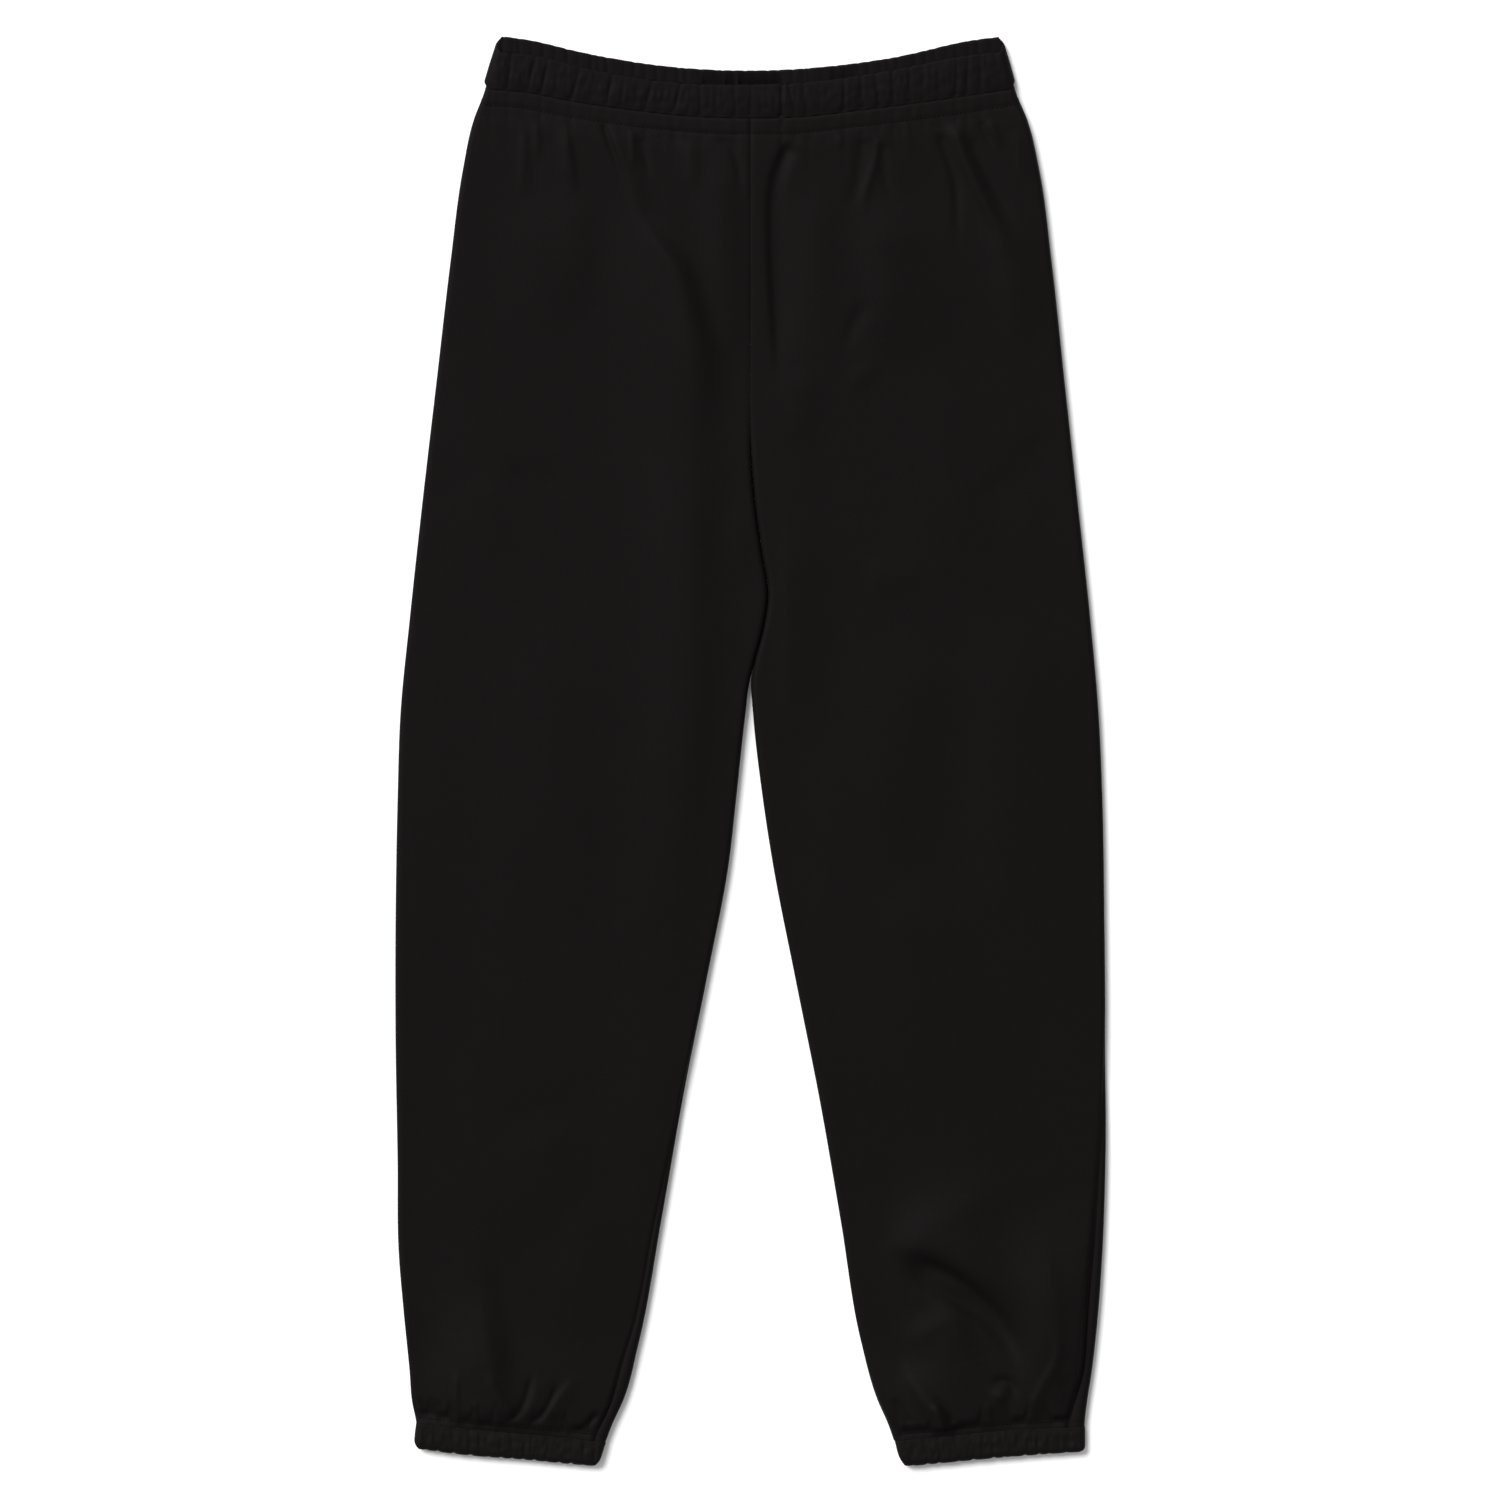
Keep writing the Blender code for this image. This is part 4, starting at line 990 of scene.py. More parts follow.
@dataclass(frozen=True)
class ThreadFinish:
    """Black spun polyester thread, matt and darker than the cloth: partly its own black, partly painted
    shade for the shadow in its stitched grooves.

    Attributes:
        name: the material's name.
        colour: of the fresh thread, its own black darkened with painted groove shade.
        worn_share: how much lighter a worn spot is.
        roughness: of the thread.
        gloss: the specular level.
        twist: from one ply to the next, in mm.
        ply_depth: how far a ply stands up, in mm.
    """

    name: str
    # Darker than the cloth's black: the thread's own black plus painted shade of the stitch grooves.
    colour: Colour = (0.0024, 0.0019, 0.0020, 1.0)
    worn_share: float = 1.5
    roughness: float = 0.7
    gloss: float = 0.03
    twist: float = 0.55
    ply_depth: float = 0.04

    def material(self) -> bpy.types.Material:
        """The finish as a node material, with the plies as slanted ribs."""
        nodes = Nodes(self.name)
        place = nodes.add("ShaderNodeTexCoord").outputs
        parts = nodes.add("ShaderNodeSeparateXYZ")
        nodes.join(place["UV"], parts.inputs[0])
        slant = nodes.math("ADD", parts.outputs[0], parts.outputs[1])
        plies = nodes.math("SINE", nodes.math("MULTIPLY", slant, 2 * math.pi / (self.twist * MM)))
        wear = nodes.noise(place["Object"], 700.0, 2.0)
        worn = tuple(self.worn_share * value for value in self.colour[:3]) + (1.0,)
        nodes.join(nodes.mix(wear, self.colour, worn), nodes.shader.inputs["Base Color"])
        nodes.join(nodes.bump(plies, self.ply_depth * MM, 0.5), nodes.shader.inputs["Normal"])
        set_cloth_shader(nodes.shader, self.roughness, self.gloss, 0.0)
        return nodes.material


SHEEN_ROUGHNESS = 0.45
SHEEN_TINT = (1.0, 0.93, 0.93, 1.0)


def set_cloth_shader(shader: bpy.types.Node, roughness: float, gloss: float, sheen: float) -> None:
    """Sets the even values of a cloth shader on its own sockets."""
    shader.inputs["Roughness"].default_value = roughness
    shader.inputs["Metallic"].default_value = 0.0
    shader.inputs["Specular IOR Level"].default_value = gloss
    shader.inputs["Sheen Weight"].default_value = sheen
    shader.inputs["Sheen Roughness"].default_value = SHEEN_ROUGHNESS
    shader.inputs["Sheen Tint"].default_value = SHEEN_TINT


# --- Leg panels ---


ROLLED_SINK = 0.04  # the share of its depth that a seam sinks where it lies on the rolled edge
FULL_TURN = 4.0  # it sinks in full once it has turned this far onto the front


def turned_share(shift: Array) -> Array:
    """How much of its depth a seam sinks: little on the rolled edge, and all on the front."""
    return (ROLLED_SINK + (1 - ROLLED_SINK) * smooth_step(shift / FULL_TURN))[:, None]


class Groove(NamedTuple):
    """A row of stitches pressed into the cloth, at a place past the strip's end."""

    place: float
    depth: float
    width: float


class Spacing(NamedTuple):
    """How far apart a panel's rows lie, at a distance from one of its ends."""

    distance: float
    step: float


@dataclass
class LegPanel:
    """One of the four panels of the legs and body, from its waist seam to its cuff seam.

    Its columns run from the side seam, over the side roll, the flat and the inner roll, to the
    inner seam.

    Attributes:
        leg, facing: which panel it is.
        folds: its creases.
        waist_pinches, hem_pinches: the valleys of the gathers at its two ends.
        pockets: where it stands up steeply over its cuff.
        fleece: its finish.
        under: the panel that it lies on.
        flat_cells, roll_cells: cells across its flat, and across each roll.
        row_scale: how much wider its rows are than the tables give.
        wall: the cloth's thickness.
        roll: the radius of a rolled edge, half the height of the laid leg.
        half_gap: it stops this far from a seam's middle.
        least_clear: the two layers never come nearer than this.
        strip: the seam allowance stitched flat below the waistband.
        hem_strip: the same above the cuff.
        side_dip, side_width: how deep the cloth sinks to the side seam, and from how far out.
        inner_dip, inner_width: the same for the inner seam.
        inner_sink: the share of those depths that the wall's inner face sinks.
        centre_groove: how deep the centre seams sink.
        crowding: the power that crowds a roll's cells towards its seam.
        least_roll: a front roll runs at least this far past its seam.
        waist_swell, hem_swell: how high the cloth swells past its two strips.
        waist_rows, hem_rows: how far apart its rows lie, going from its waist and from its hem.
    """

    leg: Leg
    facing: Facing
    folds: tuple[Fold, ...]
    waist_pinches: tuple[Pinch, ...]
    hem_pinches: tuple[Pinch, ...]
    pockets: tuple[Pocket, ...]
    fleece: bpy.types.Material
    under: "LegPanel | None" = None
    flat_cells: int = 116
    row_scale: float = 1.0
    roll_cells: int = 9
    wall: float = 2.2
    roll: float = 4.0
    half_gap: float = 0.02
    least_clear: float = 0.3
    strip: float = 11.6
    hem_strip: float = 5.6
    side_dip: float = 1.5
    side_width: float = 2.6
    inner_dip: float = 0.9
    inner_width: float = 1.6
    inner_sink: float = 0.35
    centre_groove: float = 0.5
    crowding: float = 1.4
    least_roll: float = 6.0
    waist_swell: float = 0.7
    hem_swell: float = 2.3
    waist_rows: tuple[Spacing, ...] = (
        Spacing(0.0, 1.2),
        Spacing(18.0, 1.3),
        Spacing(45.0, 2.2),
        Spacing(240.0, 2.6),
        Spacing(360.0, 5.0),
    )
    hem_rows: tuple[Spacing, ...] = (
        Spacing(0.0, 1.0),
        Spacing(16.0, 1.2),
        Spacing(60.0, 1.9),
        Spacing(170.0, 2.8),
        Spacing(260.0, 5.0),
    )

    SAMPLES = 3000  # of the rows' spacing, down the leg
    SLOPE_STEP = 0.6  # a line's slope is measured over this, to both sides of it

    # Where creases may stand: the distances over which they come in, from inside each strip on,
    # and the share of their height that they keep on the strips.
    INSIDE_STRIP = 4.0
    FREE_OVER = 13.0
    INSIDE_HEM_STRIP = 2.5
    HEM_FREE_OVER = 6.0
    STRIP_SHARE = 0.3
    STRIP_RISE = 3.0

    # Below the waistband: heights, and the distances over which they come and go.
    STRIP_HEIGHT = 0.3
    STRIP_END = 2.4
    OFF_SEAM = 2.0
    PRINT_HEIGHT = 0.5
    GATHER_HEIGHT = 0.45
    GATHER_RISE = 5.0
    GATHER_FADE = 16.0
    WAIST_WRINKLE = 0.14
    WRINKLE_PAST = 3.0
    WRINKLE_FADE = 6.0
    SWELL_RISE = 16.0
    SWELL_FADE = 60.0
    STITCHES = Groove(0.0, 0.4, 0.9)
    UPPER_STITCHES = Groove(-2.6, 0.15, 0.8)

    # Above the cuff.
    CLIMB_EARLY = 0.3
    CUFF_STEP = 0.4
    PLAIN_FOOT = 0.35
    POCKET_FOOT = 0.9
    STEEP_CLIMB = 3.8
    GENTLE_CLIMB = 15.0
    HEM_SWELL_FADE = 82.0
    LOBE_DEPTH = 0.2
    LOBE_FADE = 12.0
    HEM_WRINKLE = 0.16
    HEM_WRINKLE_FADE = 4.0
    HEM_VALLEY = 3.0

    # The back lies on the floor, so all of its relief is low and rises from one plane.
    BACK_ENDS = 0.45
    BACK_DRIFT = 0.3
    BACK_HIGHEST = 1.7
    BACK_CORNER = 0.2

    @property
    def node(self) -> str:
        """The CAD node that it stands for."""
        return f"{self.facing.value}_{self.leg.value}_leg"

    @property
    def name(self) -> str:
        """Its own name."""
        return f"{self.node}_cloth"

    @property
    def is_front(self) -> bool:
        """Whether it is a front panel."""
        return self.facing is Facing.FRONT

    def row_places(self) -> Array:
        """Rows from 0 at the waist seam to 1 at the cuff seam, closer together at both ends.

        A row lies wherever the running sum of 1 / step passes the next whole number.
        """
        down = np.linspace(0.0, LEG_LENGTH, self.SAMPLES)
        waist = np.interp(down, *zip(*self.waist_rows))
        hem = np.interp(LEG_LENGTH - down, *zip(*self.hem_rows))
        density = 1 / (self.row_scale * np.minimum(waist, hem))
        passed = np.cumsum((density[1:] + density[:-1]) / 2 * np.diff(down))
        count = np.concatenate([[0.0], passed])
        whole = np.linspace(0.0, count[-1], round(count[-1]) + 1)
        return np.interp(whole, count, down) / LEG_LENGTH

    def edge_stations(self, shift: Array, inset: float) -> Array:
        """Places along the surface from a seam to the end of its roll, closer near the seam.

        Args:
            shift: how far the seam has turned onto the front, for each row.
            inset: 0 on the wall's outside and its thickness inside, where the roll is tighter.

        Returns:
            The places from the roll's middle, positive on the front.
        """
        steps = np.linspace(0.0, 1.0, self.roll_cells + 1) ** self.crowding
        quarter = QUARTER_TURN * self.roll
        gap = self.half_gap * self.roll / (self.roll - inset)
        if self.is_front:
            first = shift + gap
            last = np.maximum(quarter, first + self.least_roll)
        else:
            first = shift - gap
            last = np.full_like(first, -quarter)
        return first[..., None] + (last - first)[..., None] * steps

    def roll_section(self, p: Array, inset: Array) -> tuple[Array, Array]:
        """The distance in from the edge, and the height, of a rolled edge's surface.

        On the roll they are r - (r - i) cos(p / r) and r + (r - i) sin(p / r), with i the inset;
        past it the surface runs on flat.
        """
        quarter = QUARTER_TURN * self.roll
        angle = np.clip(p / self.roll, -QUARTER_TURN, QUARTER_TURN)
        past = np.maximum(np.abs(p) - quarter, 0.0)
        reach = self.roll - inset
        return self.roll - reach * np.cos(angle) + past, self.roll + reach * np.sin(angle)

    def flat_section(self, p: Array, inset: Array) -> tuple[Array, Array]:
        """The same for an edge that isn't rolled: the layer runs flat to a centre seam."""
        quarter = QUARTER_TURN * self.roll
        near = np.clip(np.abs(p) / quarter, 0.0, 1.0)
        inward = self.roll * near + np.maximum(np.abs(p) - quarter, 0.0)
        if self.is_front:
            return inward, 2 * self.roll - inset - self.centre_groove * (1 - near) ** 2
        return inward, inset + 0.0 * inward

    def seam_shifts(self, y: Array) -> tuple[Array, Array]:
        """How far the side seam and the inner seam have turned onto the front, for each row."""
        unturned = np.zeros(len(y))
        if self.leg is Leg.LEFT:
            return np.maximum(down_table(y[:, 0], SEAM_SHIFTS, "side_left"), 0.0), unturned
        return unturned, np.maximum(down_table(y[:, -1], SEAM_SHIFTS, "inner_right"), 0.0)

    def section(self, y: Array, inset: float) -> tuple[Array, Array, Array]:
        """The panel's plain surface at the heights y, as rows of columns.

        Args:
            y: the height of each point, rows of columns.
            inset: 0 on the wall's outside and its thickness inside.

        Returns:
            Its x, its z, and the distance along the cloth from its side seam.
        """
        cells = self.roll_cells
        inward = -1.0 if self.leg is Leg.LEFT else 1.0
        side_shift, inner_shift = self.seam_shifts(y)
        side_p = self.edge_stations(side_shift, inset)
        inner_p = self.edge_stations(inner_shift, inset)[:, ::-1]
        side_fall = bell(side_p - side_p[:, :1], self.side_width)
        inner_fall = bell(inner_p - inner_p[:, -1:], self.inner_width)
        side_dip = self.side_dip * turned_share(side_shift) * side_fall
        inner_dip = self.inner_dip * turned_share(inner_shift) * inner_fall
        curl = smooth_step((CURL_STARTS_Y - y[:, -1:]) / (CURL_STARTS_Y - CURL_ENDS_Y))

        # Both faces of the wall sink to the seam, the inner one by less, so it keeps a thickness.
        sink = 1.0 if inset == 0.0 else self.inner_sink
        side_in, side_z = self.roll_section(side_p, inset + sink * side_dip)
        roll_in, roll_z = self.roll_section(inner_p, inset + sink * inner_dip)
        flat_in, flat_z = self.flat_section(inner_p, inset + sink * inner_dip * self.is_front)
        inner_in = curl * roll_in + (1 - curl) * flat_in + self.half_gap
        inner_z = curl * roll_z + (1 - curl) * flat_z

        column = self.leg.value
        side_x = down_table(y[:, : cells + 1], SIDE_EDGES, column) + inward * side_in
        inner_x = down_table(y[:, -cells - 1 :], INNER_EDGES, column) - inward * inner_in
        steps = np.linspace(0.0, 1.0, self.flat_cells + 1)[1:-1]
        flat_x = side_x[:, -1:] + (inner_x[:, :1] - side_x[:, -1:]) * steps
        level = 2 * self.roll - inset if self.is_front else inset
        x = np.concatenate([side_x, flat_x, inner_x], axis=1)
        z = np.concatenate([side_z, np.full_like(flat_x, level), inner_z], axis=1)
        run = np.hypot(np.diff(x, axis=1), np.diff(z, axis=1))
        return x, z, np.concatenate([np.zeros((len(y), 1)), np.cumsum(run, axis=1)], axis=1)

    def rows_y(self, places: Array) -> Array:
        """The heights of the rows at these places, from 0 at the waist seam to 1 at the cuff seam.

        They follow both end seams at each column's own x, so they are fitted in a few passes. On
        the side roll they climb from the front's waist seam to the back's, which lies higher.
        """
        columns = self.flat_cells + 2 * self.roll_cells + 1
        climb = np.zeros(columns)
        turn = 0.5 if self.is_front else -0.5
        climb[: self.roll_cells + 1] = np.linspace(turn, 0.0, self.roll_cells + 1) * FRONT_RISE_DROP
        ends = np.array([0.0, 1.0])[:, None]
        top = np.full(columns, LEG_TOP_Y)
        bottom = np.full(columns, LEG_FOOT_Y)
        for _ in range(3):
            x = self.section(top + (bottom - top) * ends, 0.0)[0]
            top = waist_seam_y(x[0], self.facing) + climb - self.half_gap
            bottom = cuff_seam_y(x[-1], self.leg) + self.half_gap
        return top + (bottom - top) * places[:, None]

    def waist_relief(self, x: Array, below: Array) -> Array:
        """The relief under the waistband, at a distance below its seam.

        The strip is flat, with the band's gathers printed through it, and sunk at its two rows of
        stitches, now more and now less. Past it the cloth swells, and its small gathers fade out.
        """
        puff = puff_of(x, np.zeros_like(x), self.waist_pinches)
        past = below - self.strip
        off_seam = smooth_step(below / self.OFF_SEAM)
        dash = 0.5 + 0.5 * value_noise(x, 0 * x, STITCH_GRAIN)
        dash = np.clip(dash + 0.6 * value_noise(x, 0 * x, STITCH_SPELL_GRAIN), 0.05, 1.3)
        before_end = 1 - smooth_step((past + self.STRIP_END) / self.STRIP_END)
        raised = self.STRIP_HEIGHT * off_seam * before_end
        fade = np.exp(-np.maximum(below, 0) / self.GATHER_FADE)
        ripple = self.PRINT_HEIGHT * (puff - 0.5) * off_seam * fade
        crinkle = self.WAIST_WRINKLE * value_noise(x, below, WAIST_STRIP_GRAIN)
        crinkle = crinkle * (1 - smooth_step((past - self.WRINKLE_PAST) / self.WRINKLE_FADE))
        relief = raised + ripple + crinkle
        sunk = 0.0
        for groove in (self.STITCHES, self.UPPER_STITCHES):
            sunk = sunk - groove.depth * dash * bell(past - groove.place, groove.width)
        swell_fade = np.exp(-np.maximum(past, 0) / self.SWELL_FADE)
        swell = self.waist_swell * smooth_step(past / self.SWELL_RISE) * swell_fade
        small_fade = np.exp(-np.maximum(past, 0) / self.GATHER_FADE)
        small = self.GATHER_HEIGHT * (puff - 0.45) * smooth_step(past / self.GATHER_RISE) * small_fade
        return relief + sunk + swell + small

    def hem_relief(self, x: Array, above: Array) -> Array:
        """The relief over the cuff, at a distance above its seam.

        The strip slopes down from the cuff. From its foot the leg stands up, steeply in the
        pockets and gently between them, and its gathers merge into one swell up the leg.
        """
        up = np.clip(above / PINCH_RISE, 0.0, PINCH_END)
        puff = puff_of(x, up, self.hem_pinches, self.HEM_VALLEY)
        past = np.maximum(above - self.hem_strip, 0.0)
        steep = pocket_share(x, self.pockets)
        climb_length = self.STEEP_CLIMB + self.GENTLE_CLIMB * (1 - steep)
        climb = smooth_step((above - self.hem_strip + self.CLIMB_EARLY) / climb_length)
        swell = self.hem_swell * climb * smooth_step(1 - past / self.HEM_SWELL_FADE)
        lobes = 1 - self.LOBE_DEPTH * np.exp(-past / self.LOBE_FADE) * (1 - puff)
        foot = self.PLAIN_FOOT + self.POCKET_FOOT * steep
        ramp = (self.CUFF_STEP - foot * smooth_step(above / self.hem_strip)) * (1 - climb)
        crinkle = self.HEM_WRINKLE * value_noise(x, above, HEM_STRIP_GRAIN)
        crinkle = crinkle * (1 - smooth_step(past / self.HEM_WRINKLE_FADE))
        return swell * lobes + ramp + crinkle

    def freedom(self, below: Array, above: Array) -> Array:
        """The share of their height that creases have: 0 at the two end seams and 1 past the strips."""
        free = smooth_step((below - self.strip + self.INSIDE_STRIP) / self.FREE_OVER)
        free = free * smooth_step((above - self.hem_strip + self.INSIDE_HEM_STRIP) / self.HEM_FREE_OVER)
        on_strips = self.STRIP_SHARE * (1 - free) * smooth_step(below / self.STRIP_RISE)
        return free + on_strips * smooth_step(above / self.STRIP_RISE)

    def lift(self, x: Array, y: Array) -> Array:
        """How far the cloth's flat stands up from its plain height, at any point.

        A front's troughs level out before they reach the back that it lies on.
        """
        below = waist_seam_y(x, self.facing) - y
        above = y - cuff_seam_y(x, self.leg)
        free = self.freedom(below, above)
        creases = relief_of(self.folds, x, y)
        ends = self.waist_relief(x, below) + self.hem_relief(x, above)
        if not self.is_front:
            level = free * creases + self.BACK_ENDS * ends + self.BACK_DRIFT * drift(x, y)
            highest = self.BACK_HIGHEST
            return highest * np.tanh(soft_positive(level, self.BACK_CORNER) / highest)
        total = free * (creases + drift(x, y)) + ends
        deepest = 2 * (self.roll - self.wall) - self.least_clear
        if self.under is not None:
            deepest = deepest - self.under.lift(x, y)
        sunk = -deepest * np.tanh(np.maximum(-total, 0.0) / deepest)
        return np.where(total < 0, sunk, total)

    def grids(self, places: Array) -> tuple[Array, Array, Array]:
        """The outer and inner points of the rows at these places, and their UV, in mm."""
        y = self.rows_y(places)
        outer_x, outer_z, run = self.section(y, 0.0)
        inner_x, inner_z, _ = self.section(y, self.wall)
        away = outer_z - self.roll if self.is_front else self.roll - outer_z
        lift = self.lift(outer_x, y) * np.clip(away / self.roll, 0.0, 1.0) ** 2
        outer = np.stack([outer_x, y, outer_z + lift], axis=-1)
        inner = np.stack([inner_x, y, inner_z + lift], axis=-1)
        return outer, inner, np.stack([run, y], axis=-1)

    def build(self) -> None:
        """Makes the panel as a closed wall, riding on the body."""
        outer, inner, uv = self.grids(self.row_places())
        points = np.concatenate([outer.reshape(-1, 3), inner.reshape(-1, 3)])
        faces = wall_faces(*outer.shape[:2])
        piece = new_piece(self.name, points, faces, np.concatenate([uv, uv]), self.fleece)
        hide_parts(self.node)
        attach(piece, BODY)
        LOG.info("%s: %d faces, %.4f m2 of cloth", self.name, len(faces), surface_area(outer))

    def row_line(self, from_waist: float = 0.0, from_cuff: float = 0.0) -> tuple[Array, Array]:
        """A line across the panel's outside at a distance from one of its end seams.

        Args:
            from_waist: the distance below the waist seam, if it isn't 0.
            from_cuff: the distance above the cuff seam, if it isn't 0.

        Returns:
            Its points and the surface's outward normals there, in mm.
        """
        place = from_waist / LEG_LENGTH if from_waist else 1 - from_cuff / LEG_LENGTH
        near = self.SLOPE_STEP / LEG_LENGTH
        points = self.grids(np.array([place - near, place, place + near]))[0]
        across = np.gradient(points[1], axis=0)
        down = points[2] - points[0]
        normal = np.cross(across, down)
        normal /= np.linalg.norm(normal, axis=-1, keepdims=True)
        outward = 1.0 if self.is_front else -1.0
        middle = len(normal) // 2
        if normal[middle, 2] * outward < 0:
            normal = -normal
        return points[1], normal


# --- Casings ---


class Slit(NamedTuple):
    """A stretch where the front rim stands clear of the back, so that a dark gap shows."""

    low: float
    high: float
    depth: float


@dataclass
class Casing:
    """A gathered ring with elastic inside: the waistband, or a cuff.

    Its rows run from the seam to the rim on the outside and back on the inside, and its columns
    over the front, round the far edge, back below and round the near edge.

    Attributes:
        node: the CAD node that it stands for.
        seam, rim, back_rim: its two edges as marks, and the back's rim.
        seam_ends, rim_ends: the x of its two side edges.
        pinches, back_pinches: the valleys of its gathers.
        cloth: its finish.
        flat: the size that it was cut to, in metres, as it lies folded over its elastic; not used.
        back_rise: how far its back seam lies above its front seam.
        back_shows: how much of the back's inside shows past the front rim.
        slits: where the strip that shows drops away from the front's rim.
        front_cells, back_cells, roll_cells: cells across its front, its back and each roll.
        band_cells: cells from its seam to its rim.
        puff_height: how high its front gathers stand.
        crinkle_height: how high the fine wrinkles on them do.
        back_height: how high the gathers of the back's inside do.
        under_depth: how deep the valleys of its underside are.
        wall: the casing's thickness, with its elastic.
        roll: the radius of its rolled side edges.
        half_gap: it stops this far from its seam's middle.
        scallop: how far a gather stands past the rim.
        rim_round: how far from the rim its edge starts to round over.
        rim_droop: how far its front's rim bends down.
        corners: the radii of its rim's two corners, seen from above.
        foot_rise: the power that the gathers rise with from the seam; a low one is steep.
        pit_share: how deep the foot of a valley is, as a share of the gathers' height.
        pit_aside: how far towards +X of its valley that foot lies.
        pit_valley: its soft half width.
        pit_up, pit_length: how far from the seam it lies, and its soft half length.
        droop_length: how far from the rim the droop starts.
    """

    node: str
    seam: tuple[Mark, ...]
    rim: tuple[Mark, ...]
    back_rim: tuple[Mark, ...]
    seam_ends: tuple[float, float]
    rim_ends: tuple[float, float]
    pinches: tuple[Pinch, ...]
    back_pinches: tuple[Pinch, ...]
    cloth: bpy.types.Material
    flat: tuple[float, float]
    back_rise: float = 0.0
    back_shows: float = 0.0
    slits: tuple[Slit, ...] = ()
    front_cells: int = 460
    back_cells: int = 300
    roll_cells: int = 12
    band_cells: int = 24
    puff_height: float = 1.05
    crinkle_height: float = 0.27
    back_height: float = 0.45
    under_depth: float = 0.7
    wall: float = 2.6
    roll: float = 4.2
    half_gap: float = 0.05
    scallop: float = 1.1
    rim_round: float = 1.6
    rim_droop: float = 0.0
    corners: tuple[float, float] = (0.0, 0.0)
    foot_rise: float = 0.85
    pit_share: float = 0.85
    pit_aside: float = -1.6
    pit_valley: float = 2.8
    pit_up: float = 1.4
    pit_length: float = 2.0
    droop_length: float = 4.5

    SLIT_END = 1.6  # a slit closes over this at each end
    SLIT_FLOOR = 0.1  # and its floor stands this high
    FALL_SHORT = 1.5  # the back comes down to that floor this far short of the front's rim,
    FALL_POWER = 1.5  # slowly at first
    SHOWN_HEIGHT = 2.1  # what shows of the back's inside stands this much higher,
    SHOWN_FADE = 3.0  # and comes down over this, under the front's rim
    SEAM_ROUND = 0.8  # the edge at the seam is round over this
    LEVEL_PUFF = 0.6  # a gather fuller than this stands past the rim, and a flatter one short of it

    @property
    def name(self) -> str:
        """Its own name."""
        return f"{self.node}_casing"

    def rows(self) -> tuple[Array, Array]:
        """The rows' places from 0 at the seam to 1 at the rim, and 1 outside or -1 inside.

        They lie closer together at both ends, where the casing's edges are round.
        """
        even = np.linspace(0.0, 1.0, self.band_cells + 1)
        place = 0.45 * even + 0.55 * (0.5 - 0.5 * np.cos(math.pi * even))
        places = np.concatenate([place, place[-2:0:-1]])
        outside = np.where(np.arange(len(places)) <= self.band_cells, 1.0, -1.0)
        return places[:, None], outside[:, None]

    def columns(self) -> tuple[Array, Array]:
        """The columns' share across, from 0 to 1, and their angle round the section."""
        front = np.linspace(0.0, 1.0, self.front_cells + 1)
        back = np.linspace(1.0, 0.0, self.back_cells + 1)
        turn = np.linspace(QUARTER_TURN, -QUARTER_TURN, self.roll_cells + 1)[1:-1]
        share = np.concatenate([front, np.ones_like(turn), back, np.zeros_like(turn)])
        over = np.full_like(front, QUARTER_TURN)
        below = np.full_like(back, -QUARTER_TURN)
        return share, np.concatenate([over, turn, below, -turn])

    def slit_share(self, x: Array) -> Array:
        """How open the gap behind the front rim is, from 0 to its depth."""
        total = np.zeros_like(x)
        for slit in self.slits:
            opening = slit.depth * smooth_step((x - slit.low) / self.SLIT_END)
            total += opening * smooth_step((slit.high - x) / self.SLIT_END)
        return total

    def corner_retreat(self, x: Array) -> Array:
        """How far the rim falls back at its round corners: r - sqrt(r^2 - (r - d)^2), d from an end."""
        total = np.zeros_like(x)
        for radius, inward in zip(self.corners, (x - self.rim_ends[0], self.rim_ends[1] - x)):
            past = radius - np.clip(inward, 0.0, radius)
            total += radius - np.sqrt(radius**2 - past**2)
        return total

    def end_lines(self, seam_x: Array, rim_x: Array, frontness: Array) -> tuple[Array, Array]:
        """The y of each column at the seam and at the rim, before its gathers move the rim."""
        towards_rim = np.sign(self.rim[0].y - self.seam[0].y)
        seam_y = through_marks(seam_x, self.seam) + self.back_rise * (1 - frontness)
        seam_y = seam_y + towards_rim * self.half_gap
        front_y = through_marks(rim_x, self.rim)
        rim_y = front_y + (through_marks(rim_x, self.back_rim) - front_y) * (1 - frontness)
        return seam_y, rim_y - towards_rim * self.corner_retreat(rim_x)

    def rounding(self, from_seam: Array, from_rim: Array) -> Array:
        """The share of its thickness that the wall has, less on the round edges of seam and rim."""
        round_rim = np.sqrt(1 - (1 - np.clip(from_rim / self.rim_round, 0.0, 1.0)) ** 2)
        round_seam = np.sqrt(1 - (1 - np.clip(from_seam / self.SEAM_ROUND, 0.0, 1.0)) ** 2)
        return round_rim * (0.8 + 0.2 * round_seam)

    def gathers(self, x: Array, y: Array, place: Array, puff: Array) -> Array:
        """How high the gathers and their fine wrinkles stand: in full at mid band, 0.15 at its edges."""
        bulge = 0.15 + 0.85 * np.sin(math.pi * np.clip(place, 0.0, 1.0)) ** self.foot_rise
        vary = 0.8 + 0.3 * value_noise(x, y, PUFF_GRAIN)
        fine = value_noise(x, y, WRINKLE_GRAIN) + 0.9 * value_noise(x, y, BROAD_WRINKLE_GRAIN)
        crinkle = self.crinkle_height * fine
        return (self.puff_height * puff * vary + crinkle) * bulge

    def sunk(self, x: Array, place: Array, from_seam: Array, from_rim: Array) -> Array:
        """How far the front sinks, in the pits at the feet of its valleys and where its rim droops."""
        pinched = 1 - puff_of(x - self.pit_aside, place + 0 * x, self.pinches, self.pit_valley)
        foot = bell(from_seam - self.pit_up, self.pit_length)
        pit = self.pit_share * self.puff_height * pinched * foot
        droop = self.rim_droop * (1 - np.clip(from_rim / self.droop_length, 0.0, 1.0)) ** 2
        return pit + droop

